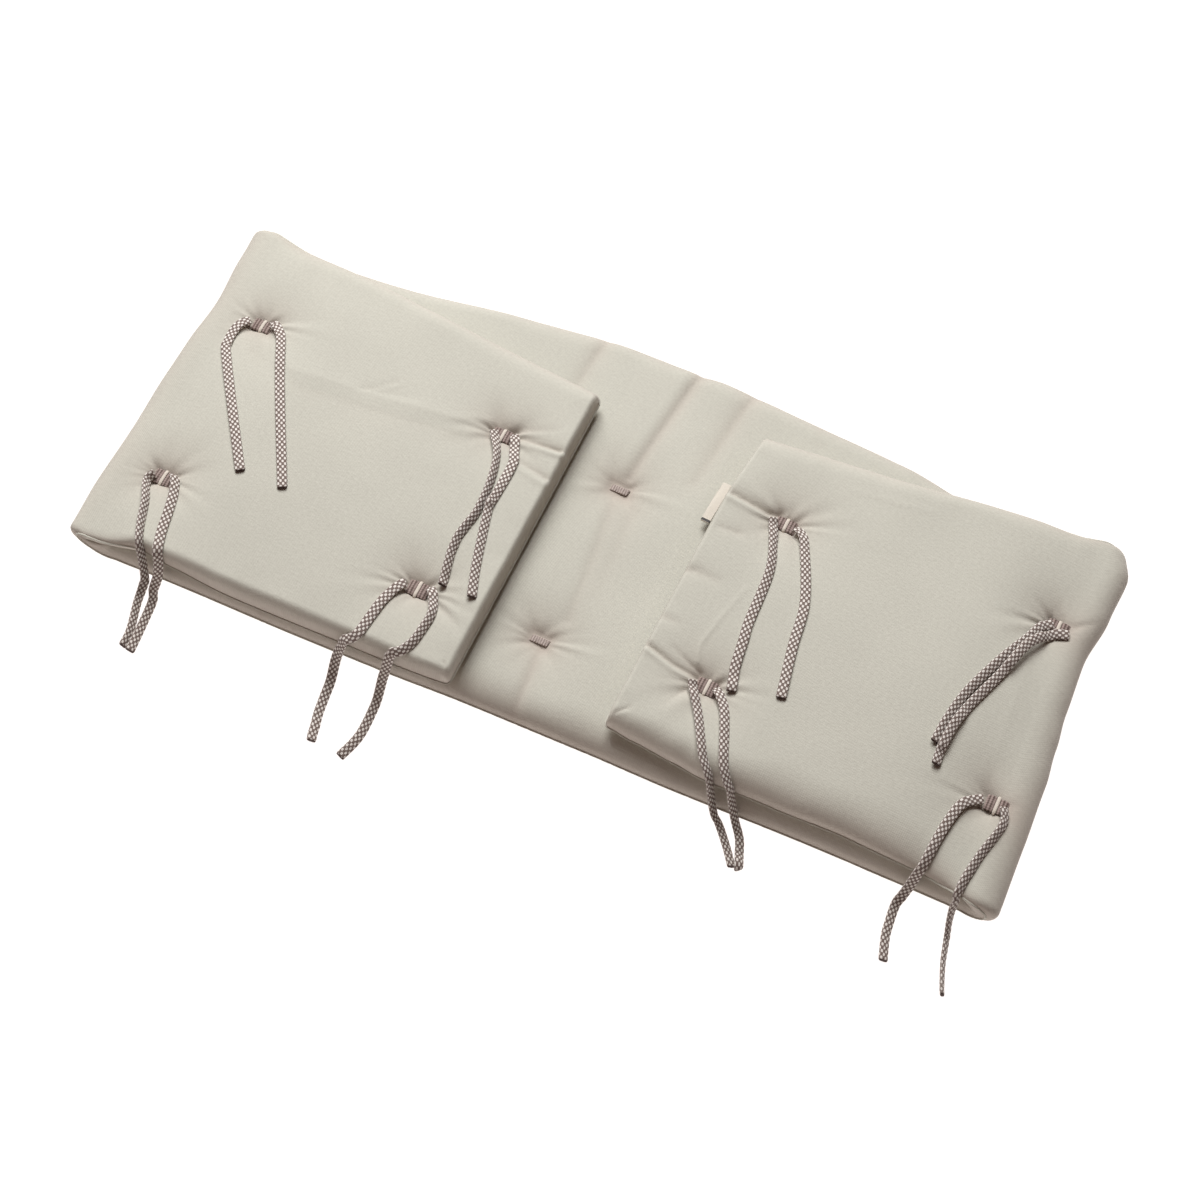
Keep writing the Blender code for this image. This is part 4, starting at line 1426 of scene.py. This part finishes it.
@dataclass
class EdgeSeam:
    """The sewn edge: a small firm roll that runs round the whole rim of the pad.

    Attributes:
        cloth: the pad's skin, which has the rim.
        material: the same cotton.
        out: half width, outwards.
        thick: half thickness.
        stitch: spacing of the stitches that nip it.
        sides: points round it.
    """

    cloth: PadCloth
    material: Material
    out: float = 1.1 * MM
    thick: float = 0.8 * MM
    stitch: float = 3.2 * MM
    sides: int = 10

    def build(self) -> Piece:
        """Sweep an oval along the rim, nipped a little at each stitch.

        Returns:
            The piece.
        """
        pad = self.cloth.relief.pad
        u, y = self.cloth.rim()
        lift = self.cloth.relief.rim_lift(u, y)
        path = pad.fold(u, y, lift)
        top = unit(pad.fold(u, y, lift + MM) - path)
        keep = np.r_[True, np.linalg.norm(np.diff(path, axis=0), axis=1) > 0.05 * MM]
        path, top = path[keep], top[keep]
        forward = unit(np.roll(path, -1, axis=0) - np.roll(path, 1, axis=0))
        gone = run_length(path)
        nip = 1 - 0.16 * np.cos(2 * np.pi * gone / self.stitch) ** 8
        turn = ring_angles(self.sides)
        section = np.stack([self.out * np.cos(turn), self.thick * np.sin(turn)], axis=-1) * nip[:, None, None]
        points = sweep(path, unit(np.cross(forward, top)), top, section)
        quads = grid_faces(len(path), self.sides, wrap=True, loop=True)
        around = np.tile(turn / (2 * np.pi) * 7 * MM, len(path))
        flat = np.stack([np.repeat(gone, self.sides), around], axis=-1)
        return enrol(new_piece("edge_seam", points, [quads], self.material, flat))


class Ground:
    """Everything that is already laid down, to find how high the next piece lies."""

    def __init__(self) -> None:
        """Start with nothing but the floor."""
        self.trees: list[BVHTree] = []

    def add(self, piece: Piece) -> None:
        """Remember a piece's mesh.

        Args:
            piece: what has been laid down.
        """
        mesh = piece.data
        mesh.calc_loop_triangles()
        corners = np.empty(len(mesh.vertices) * 3, np.float32)
        mesh.vertices.foreach_get("co", corners)
        triangles = np.empty(len(mesh.loop_triangles) * 3, np.int32)
        mesh.loop_triangles.foreach_get("vertices", triangles)
        lists = [values.reshape(-1, 3).tolist() for values in (corners, triangles)]
        self.trees.append(BVHTree.FromPolygons(*lists))

    def height(self, x: float, y: float) -> float:
        """Height of the highest thing at a place, or of the floor."""
        hits = [tree.ray_cast(Vector((x, y, 1.0)), Vector((0, 0, -1)))[0] for tree in self.trees]
        return max([0.0] + [hit.z for hit in hits if hit is not None])

    def over(self, x: float, y: float, reach: tuple[float, float], way: tuple[float, float]) -> float:
        """Find the highest point under a small rectangle.

        Args:
            x: its middle.
            y: its middle.
            reach: half its length and half its width.
            way: the direction of its length.

        Returns:
            The height.
        """
        shares = (-1, -0.5, 0, 0.5, 1)
        return max(self.height(x + way[0] * reach[0] * i - way[1] * reach[1] * j,
                               y + way[1] * reach[0] * i + way[0] * reach[1] * j)
                   for i in shares for j in shares)


@dataclass
class Strip:
    """A short strip that is sewn flat onto the cloth.

    Attributes:
        name: the piece's name.
        node: the solid it stands for.
        place: middle of its underside.
        angle: direction of the tape, radians from +X.
        size: along the tape, across it, and height.
    """

    name: str
    node: str
    place: Array
    angle: float
    size: Place

    def lay(self, x: Array, y: Array, z: Array) -> Array:
        """Turn and move points from the strip's own frame to its place, as one row for each."""
        cos, sin = np.cos(self.angle), np.sin(self.angle)
        return np.stack([self.place[0] + x * cos - y * sin, self.place[1] + x * sin + y * cos,
                         self.place[2] + z], axis=-1).reshape(-1, 3)


@dataclass
class WovenTape(Strip):
    """A short tape, rounded over what it holds.

    Attributes:
        arch: extra height along its middle line.
        slant: how far its far edge is shifted along it against its near edge, where it is sewn askew.
        rib: rib spacing.
    """

    arch: float
    slant: float = 0.0
    rib: float = 3.0 * MM

    def build(self, material: Material) -> Piece:
        """Make the tape as one section carried along its length.

        The section is a rounded slab with a flat underside. Along the length it rises as a low arch, pressed
        down in its middle by the stitches, and its ends turn down.

        Args:
            material: its finish.

        Returns:
            The piece.
        """
        length, width, thick = self.size
        rows, sides = 41, 28
        steps = np.linspace(-1, 1, rows)[:, None]
        across, up = np.moveaxis(blunt_oval(ring_angles(sides), 0.32), -1, 0)
        pressed = self.arch * (1 - steps ** 4) * (1 - 0.85 * bell(steps / 0.24))
        bulge = self.arch * 0.6 * (1 - across ** 2) * (1 - steps ** 4)
        ribs = 1 + 0.16 * np.cos(np.pi * steps * length / self.rib)
        x = steps * length / 2 + self.slant * across / 2
        y = across * width / 2 * (1 - 0.05 * steps ** 6)
        z = thick / 2 + up * thick / 2 * ribs + (pressed + bulge) * np.clip(0.5 + up, 0, 1)
        flat = np.stack([x, y + np.where(up < 0, width, 0)], axis=-1).reshape(-1, 2)
        piece = new_piece(self.name, self.lay(x, y, z), rod_faces(rows, sides, flip=True), material, flat)
        return enrol(piece, self.node)


@dataclass
class StitchBar(Strip):
    """A bar of cream stitches across a tape: a few thick threads side by side.

    Attributes:
        threads: how many threads lie side by side.
    """

    threads: int = 3

    def build(self, material: Material) -> Piece:
        """Make the threads as one ribbed section carried along the bar, bent down into the cloth at its ends.

        Args:
            material: its finish.

        Returns:
            The piece.
        """
        wide, long, high = self.size
        rows, sides = 25, 36
        steps = np.linspace(-1, 1, rows)[:, None]
        turn = ring_angles(sides)
        ribbed = 1 + 0.16 * np.abs(np.cos(self.threads * turn / 2 + np.pi / 2)) * (np.sin(turn) > 0)
        shrink = 1 - 0.35 * np.abs(steps) ** 6
        x = wide / 2 * np.cos(turn) * shrink
        y = np.broadcast_to(steps * long / 2, x.shape)
        z = high / 2 + high / 2 * np.sin(turn) * ribbed * shrink - high * 1.6 * np.abs(steps) ** 5
        flat = np.stack([np.broadcast_to(turn / np.pi * wide, x.shape), y], axis=-1).reshape(-1, 2)
        piece = new_piece(self.name, self.lay(x, y, z), rod_faces(rows, sides), material, flat)
        return enrol(piece, self.node)


@dataclass
class TieCord:
    """One free end of a tie: a flat braid that lies where it falls.

    Attributes:
        name: which one: its folded end, row of ties and letter.
        route: its way seen from above, in millimetres from the tuft column and the near seam.
        roll: how it turns over along its way: shares of its length and degrees.
        size: width and thickness of the braid.
        repeats: how often the pattern comes round the braid.
        around: one repeat round it, on the cloth map.
        pitch: one repeat along it.
        step: spacing of the points at which it is laid.
        hang: radius to which it curls where it hangs.
        clearance: how far it keeps off what it lies on, less than 0 where it sinks into soft cloth.
        crossing_height: how far a crossing stands up.
        frayed: length of cut end that is frayed dark.
        squareness: power of its section's superellipse.
    """

    name: str
    route: tuple
    roll: tuple = ((0.0, 0.0), (1.0, 0.0))
    size: tuple[float, float] = (8.9 * MM, 3.6 * MM)
    repeats: int = 5
    around: float = 4.1 * MM
    pitch: float = 5.6 * MM
    step: float = 2 * MM
    hang: float = 9 * MM
    clearance: float = -0.4 * MM
    crossing_height: float = 0.2 * MM
    frayed: float = 1.3 * MM
    squareness: float = 0.72

    def turned(self, share: Array) -> Array:
        """How far the braid is turned over at shares of its length, in radians."""
        return np.radians(np.interp(share, *zip(*self.roll)))

    def plan(self) -> Array:
        """Draw a smooth curve through the route's points, a cubic from each to the next, at even steps.

        Returns:
            n by 2 places in the frame of the solids.
        """
        knots = np.array(self.route, float) * MM
        knots = np.vstack([2 * knots[0] - knots[1], knots, 2 * knots[-1] - knots[-2]])
        part = np.linspace(0, 1, 24, endpoint=False)[None, :, None]
        a, b, c, d = (knots[i:len(knots) - 3 + i, None] for i in range(4))
        run = b + part * ((c - a) / 2 + part * ((a - 2.5 * b + 2 * c - 0.5 * d)
                                                + part * (1.5 * b - 1.5 * c + 0.5 * d - 0.5 * a)))
        run = np.vstack([run.reshape(-1, 2), knots[-2:-1]])
        gone = run_length(run)
        spots = np.linspace(0, gone[-1], int(np.ceil(gone[-1] / self.step)) + 1)
        return along_line(run, gone, spots) - MIDDLE[:2]

    def lay(self, ground: Ground) -> Array:
        """Lay the cord down: it rests on what is below it, and hangs in a curl where that falls away.

        Args:
            ground: what is already there.

        Returns:
            n by 3 places of its middle line.
        """
        plan = self.plan()
        angle = self.turned(np.linspace(0, 1, len(plan)))
        half_wide = np.hypot(self.size[0] * np.cos(angle), self.size[1] * np.sin(angle)) / 2
        half_high = np.hypot(self.size[0] * np.sin(angle), self.size[1] * np.cos(angle)) / 2
        heading = unit(np.gradient(plan, axis=0))
        floor = np.array([ground.over(*spot, (self.step, wide), way) + high + self.clearance
                          for spot, way, wide, high in zip(plan, heading, half_wide, half_high)])
        drop = run_length(plan)[-1] ** 2 / (len(plan) - 1) ** 2 / (2 * self.hang)
        z = floor.copy()
        for _ in range(3000):
            z[1:-1] = np.maximum(floor[1:-1], (z[:-2] + z[2:]) / 2 - drop)
        return np.column_stack([plan, z])

    def smooth_path(self, coarse: Array) -> tuple[Array, Array]:
        """Divide the middle line finely and smooth it with a short bell.

        Args:
            coarse: its places.

        Returns:
            The finer places, and the distance gone at each.
        """
        gone = run_length(coarse)
        spots = np.linspace(0, gone[-1], int(round(gone[-1] / (self.pitch / 6))))
        path = along_line(coarse, gone, spots)
        soft, reach = np.hanning(9) / np.hanning(9).sum(), 4
        padded = np.vstack([2 * path[0] - path[reach:0:-1], path, 2 * path[-1] - path[-2:-2 - reach:-1]])
        return np.stack([np.convolve(padded[:, k], soft, mode="valid") for k in range(3)], axis=-1), spots

    def build(self, ground: Ground, material: Material) -> Piece:
        """Sweep the braid's flat oval along its way, with every crossing raised, and close both ends.

        The height of the surface is the product of a cosine round the braid and one along it.

        Args:
            ground: what it lies on. The cord is added to it.
            material: the braid's finish.

        Returns:
            The piece.
        """
        path, spots = self.smooth_path(self.lay(ground))
        forward = unit(np.gradient(path, axis=0))
        side = unit(np.cross(forward, np.array([0.0, 0.0, 1.0])))
        top = np.cross(side, forward)
        angle = self.turned(spots / spots[-1])[:, None]
        side, top = side * np.cos(angle) + top * np.sin(angle), top * np.cos(angle) - side * np.sin(angle)
        rows, columns = len(path), 6 * self.repeats
        oval = blunt_oval(ring_angles(columns), self.squareness) * np.array(self.size) / 2
        edge = run_length(np.vstack([oval, oval[:1]]))
        share = edge[:-1] / edge[-1]
        crossing = np.cos(2 * np.pi * self.repeats * share) * np.cos(2 * np.pi * spots / self.pitch)[:, None]
        tight = np.clip(np.minimum(spots, spots[-1] - spots) / (1.5 * MM), 0, 1)
        raised = oval + self.crossing_height * crossing[..., None] * unit(oval / np.array(self.size) ** 2)
        points = sweep(path, side, top, raised * (0.86 + 0.14 * tight ** 0.5)[:, None, None])
        around = np.tile(share * self.repeats * self.around, rows)
        flat = np.stack([around, np.repeat(spots, columns)], axis=-1)
        node = "cord_" + self.name
        piece = new_piece(node + "_braid", points, rod_faces(rows, columns), material, flat)
        cut = np.clip(1 - (spots[-1] - spots) / self.frayed, 0, 1)
        mark_points(piece, "cut_end", np.repeat(cut, columns))
        enrol(piece, node)
        ground.add(piece)
        return piece


CORDS = (
    TieCord("left_outer_far_a", (
        (-373.5, 253.5), (-378.5, 248.5), (-381, 240), (-381, 230), (-379, 220), (-373, 207.5),
        (-301.5, 102))),
    TieCord("left_outer_far_b", (
        (-353, 254.5), (-348.5, 256), (-341.5, 250), (-334.5, 241), (-310.5, 194), (-268, 116.5),
        (-260, 101.5))),
    TieCord("left_outer_near_a", (
        (-374, 74.5), (-377, 69.5), (-375.5, 62.5), (-366.5, 46.5), (-359, 26.5), (-354.5, 16),
        (-344, -7), (-344, -12), (-344.5, -17.5), (-343.5, -26), (-335.5, -53.5), (-334, -69.5)),
        ((0, 50), (0.1, 58), (1, 58))),
    TieCord("left_outer_near_b", (
        (-357, 78.5), (-352.5, 74.5), (-346, 60), (-341, 42.5), (-337, 24), (-330.5, 4),
        (-329.5, -4.5), (-333, -13), (-331.5, -18.5), (-331, -25), (-328, -51.5), (-326.5, -71)),
        ((0, 48), (0.3, 5), (0.55, 50), (0.9, 50), (1, 40))),
    TieCord("left_inner_far_a", (
        (-118, 234.5), (-105.5, 213.5), (-99.5, 196.5), (-95.5, 173.5), (-94.5, 148), (-97, 133),
        (-98, 126), (-99, 119.5), (-98.5, 111), (-98, 104), (-92, 73)),
        ((0, 25), (0.2, 56), (0.6, 50), (1, 40))),
    TieCord("left_inner_far_b", (
        (-100, 237), (-97, 233.5), (-94, 226), (-90.5, 217), (-87, 207.5), (-86.5, 181.5), (-87, 164),
        (-87, 157), (-73.5, 103), (-63.5, 72)),
        ((0, 5), (0.25, 0), (0.45, 40), (1, 25))),
    TieCord("left_inner_near_a", (
        (-122.5, 64.5), (-126.5, 59), (-132, 41.5), (-134.5, 22.5), (-137, 3.5), (-141.5, -2.5),
        (-148, -5), (-154.5, -16), (-151, -52.5), (-147.5, -68), (-146, -76), (-144, -82.5)),
        ((0, 12), (1, 36))),
    TieCord("left_inner_near_b", (
        (-101, 68), (-96.5, 64), (-89.5, 49.5), (-88, 41), (-88.5, 32.5), (-90.5, 16), (-93.5, 8),
        (-97.5, 1.5), (-103, -1), (-107.5, -9), (-109.5, -20), (-108.5, -59.5), (-115.5, -85.5)),
        ((0, 12), (0.13, 46), (0.7, 42), (1, 34))),
    TieCord("right_inner_far_a", (
        (142.5, 252), (150.5, 230.5), (159.5, 198), (161, 147), (163, 130), (165.5, 105),
        (167.5, 96.5), (171, 82)),
        ((0, 25), (0.2, 38), (0.6, 5), (1, 0))),
    TieCord("right_inner_far_b", (
        (164, 250.5), (168.5, 249), (172.5, 244.5), (176.5, 238), (197.5, 184), (203.5, 139.5),
        (211.5, 91.5)),
        ((0, 28), (0.4, 0), (1, 0))),
    TieCord("right_inner_near_a", (
        (137.5, 79.5), (139.5, 74.5), (151.5, 55), (155, 49), (169.5, 21), (173, 15.5), (176.5, 12),
        (185.5, 3), (195.5, -7.5), (202, -12), (216, -29), (225.5, -42.5)),
        ((0, 32), (1, 42))),
    TieCord("right_inner_near_b", (
        (158, 80.5), (162, 77.5), (171, 65.5), (177.5, 50.5), (188.5, 21), (192.5, 14), (195.5, 10),
        (199, 6.5), (203.5, 3.5), (217.5, -10), (221.5, -15.5), (224, -20.5), (231.5, -42)),
        ((0, 20), (1, 38))),
    TieCord("right_outer_far_a", (
        (399, 256), (394, 252.5), (389.5, 248), (382, 229.5), (369, 202.5), (356, 171.5),
        (349.5, 152), (345, 131), (343.5, 120.5), (342, 106)),
        ((0, 15), (0.15, 32), (1, 32))),
    TieCord("right_outer_far_b", (
        (414.5, 251.5), (408, 249.5), (402, 246.5), (391, 234), (383, 220), (373, 190), (359, 153),
        (353, 133), (351, 123), (349, 103.5), (349.5, 88)),
        ((0, 10), (0.15, 32), (1, 32))),
    TieCord("right_outer_near_a", (
        (396, 79.5), (390, 76.5), (380, 65), (373.5, 37), (370, 7.5), (368.5, 1.5), (363.5, -11.5),
        (361, -19), (362, -41), (363.5, -50), (368, -67)),
        ((0, 10), (0.5, 33), (1, 33))),
    TieCord("right_outer_near_b", (
        (413.5, 78.5), (417.5, 65), (409.5, 34), (406, 17.5), (404, 6.5), (403, -5.5), (404, -8),
        (404.5, -13), (406, -18.5), (409, -28), (413, -48.5), (419, -68.5), (421.5, -75)),
        ((0, 35), (0.13, 54), (0.35, 40), (0.6, 55), (1, 76))),
)


@dataclass
class SideLabel:
    """The folded woven label in the right free end's seam, left bare but for a painted shade band at one end.

    Attributes:
        size: how far it stands out, its length, and one layer's thickness.
        place: middle of its sewn edge, from the tuft column and the near seam.
        tilt: degrees it stands up from flat.
        turn: degrees it lies askew.
        curl: how far its loose edge waves up and down.
    """

    size: Place = (8.5 * MM, 44 * MM, 0.55 * MM)
    place: Place = (92.8 * MM, 254 * MM, 39 * MM)
    tilt: float = -6.0
    turn: float = -5.0
    curl: float = 0.8 * MM

    def build(self, material: Material) -> Piece:
        """Make the label: a narrow loop of tape, seen from its end as a flat drop, carried along its length.

        Args:
            material: its finish.

        Returns:
            The piece.
        """
        out, long, thick = self.size
        rows, sides = 61, 40
        steps, turn = np.linspace(-1, 1, rows)[:, None], ring_angles(sides)
        reach = np.broadcast_to(-out / 2 * (1 - np.cos(turn)), (rows, sides))
        along = np.broadcast_to(steps * long / 2, (rows, sides))
        loop = thick * (0.55 + 1.5 * np.sin(turn / 2) ** 2) * np.sin(turn)
        wave = self.curl * np.sin(0.8 * np.pi * (steps + 1)) * (reach / out) ** 2
        spin = np.array(Matrix.Translation(Vector(np.array(self.place) - MIDDLE))
                        @ Matrix.Rotation(np.radians(self.turn), 4, "Z")
                        @ Matrix.Rotation(np.radians(self.tilt), 4, "Y"))
        points = np.stack([reach, along, loop + wave], axis=-1).reshape(-1, 3) @ spin[:3, :3].T + spin[:3, 3]
        flat = np.stack([along, reach], axis=-1).reshape(-1, 2)
        return enrol(new_piece("woven_label", points, rod_faces(rows, sides), material, flat),
                     "side_label")


@dataclass
class CribBumper:
    """The whole bumper, piece by piece.

    Attributes:
        pad: the flat pad.
        cotton, tape, flat_tape, braid, thread, satin: the finishes.
        tape_sizes, bar_sizes: sizes of a tie's tape and stitch bar, by its row.
        tuft_size: size of a tufting tape.
        bar_rise: how far a stitch bar stands over its tape's own thickness.
        clearance: how far a tape keeps off the cloth, less than 0 where it sinks in.
    """

    pad: FlatPad = field(default_factory=FlatPad)
    # A0867C is the painted shade colour of folds, hollows and sides.
    cotton: BasketCotton = BasketCotton("basket_weave_cotton", "#CCCBBF", 0.92, 0.15, "#B5B3A8", "#A0867C",
                                        1.8 * MM, 0.2 * MM, 90 * MM)
    tape: RibbedTape = RibbedTape("mauve_ribbed_tape", "#9E8C86", 0.85, 0.1, "#574740", 3.0 * MM, 0.35 * MM)
    flat_tape: RibbedTape = RibbedTape("mauve_flat_tape", "#B7AAA3", 0.85, 0.1, "#8E8079", 2.2 * MM, 0.2 * MM)
    braid: DottedBraid = DottedBraid("dotted_cotton_braid", "#766760", 0.85, 0.1, "#E8E3DC", "#4A3530",
                                     (4.1 * MM, 5.6 * MM), 0.3 * MM)
    thread: SpunThread = SpunThread("cream_plied_thread", "#D8CFC4", 0.6, 0.1, "#C9BEB0", 0.9 * MM)
    # 2E2A28 is painted shade in the label loop's open end.
    satin: LabelSatin = LabelSatin("cream_label_satin", "#CFC8BB", 0.6, 0.1, "#2E2A28",
                                   (-21.5 * MM, -19.0 * MM))
    tape_sizes: dict = field(default_factory=lambda: {"near": (19 * MM, 14 * MM, 1.6 * MM),
                                                      "far": (19 * MM, 12.5 * MM, 1.6 * MM)})
    bar_sizes: dict = field(default_factory=lambda: {"near": (3.2 * MM, 17.5 * MM, 1.2 * MM),
                                                     "far": (3.2 * MM, 15.0 * MM, 1.2 * MM)})
    tuft_size: Place = (16.5 * MM, 6.5 * MM, 1.4 * MM)
    bar_rise: float = 0.9 * MM
    clearance: float = -0.3 * MM

    def strip_base(self, ground: Ground, face: Face, stitch: Stitch, size: Place) -> tuple[Array, float]:
        """Find where a strip lies on the cloth.

        Args:
            ground: what it lies on.
            face: the cloth it is sewn to.
            stitch: its middle.
            size: its length, width and thickness.

        Returns:
            The middle of its underside, and its direction in radians.
        """
        u, y = (np.array(place) for place in stitch.spot)
        x, y, _ = self.pad.fold(u, y, np.array(face.value * self.pad.thick / 2))
        turn = float(np.radians(self.pad.pick(u, "turn")))
        angle = float(-np.sign(u) * turn) if face is Face.OUTER else 0.0
        low = ground.over(x, y, (size[0] / 4, size[1] / 6), (np.cos(angle), np.sin(angle)))
        return np.array([x, y, low + self.clearance]), angle

    def build(self) -> None:
        """Build every piece in order: skin, seam, tufts, tapes, bars, cords, label."""
        ground = Ground()
        cloth = PadCloth(PaddedRelief(self.pad), self.cotton)
        skin = cloth.build()
        ground.add(skin)
        LOG.info("pad cloth: %d faces", len(skin.data.polygons))
        EdgeSeam(cloth, skin.data.materials[0]).build()
        LOG.info("edge seam sewn")
        tape, thread, braid = self.tape.material(), self.thread.material(), self.braid.material()
        flat_tape = self.flat_tape.material()
        for tuft in self.pad.tufts:
            place, angle = self.strip_base(ground, Face.INNER, tuft, self.tuft_size)
            ground.add(WovenTape(f"tuft_{tuft.name}", f"tuft_tape_{tuft.name}", place, angle, self.tuft_size,
                                 0.3 * MM, 1.5 * MM).build(flat_tape))
            LOG.info("tuft %s laid", tuft.name)
        for tie in self.pad.stitches:
            row = tie.name.split("_")[-1]
            size = self.tape_sizes[row]
            place, angle = self.strip_base(ground, Face.OUTER, tie, size)
            ground.add(WovenTape(f"tie_band_{tie.name}", f"tie_tape_{tie.name}", place, angle, size,
                                 1.3 * MM).build(tape))
            bar_place = place + np.array([0, 0, size[2] + self.bar_rise])
            ground.add(StitchBar(f"stitch_bar_{tie.name}", f"tie_bar_{tie.name}", bar_place, angle,
                                 self.bar_sizes[row]).build(thread))
            LOG.info("tape and stitch bar %s laid", tie.name)
        for cord in CORDS:
            cord.build(ground, braid)
        SideLabel().build(self.satin.material())
        LOG.info("label sewn in")


def main() -> None:
    """Build the studio and the bumper."""
    logging.basicConfig(level=logging.INFO, format="%(message)s")
    PhotoCamera().build()
    Studio().build()
    CribBumper().build()


if __name__ == "__main__":
    main()
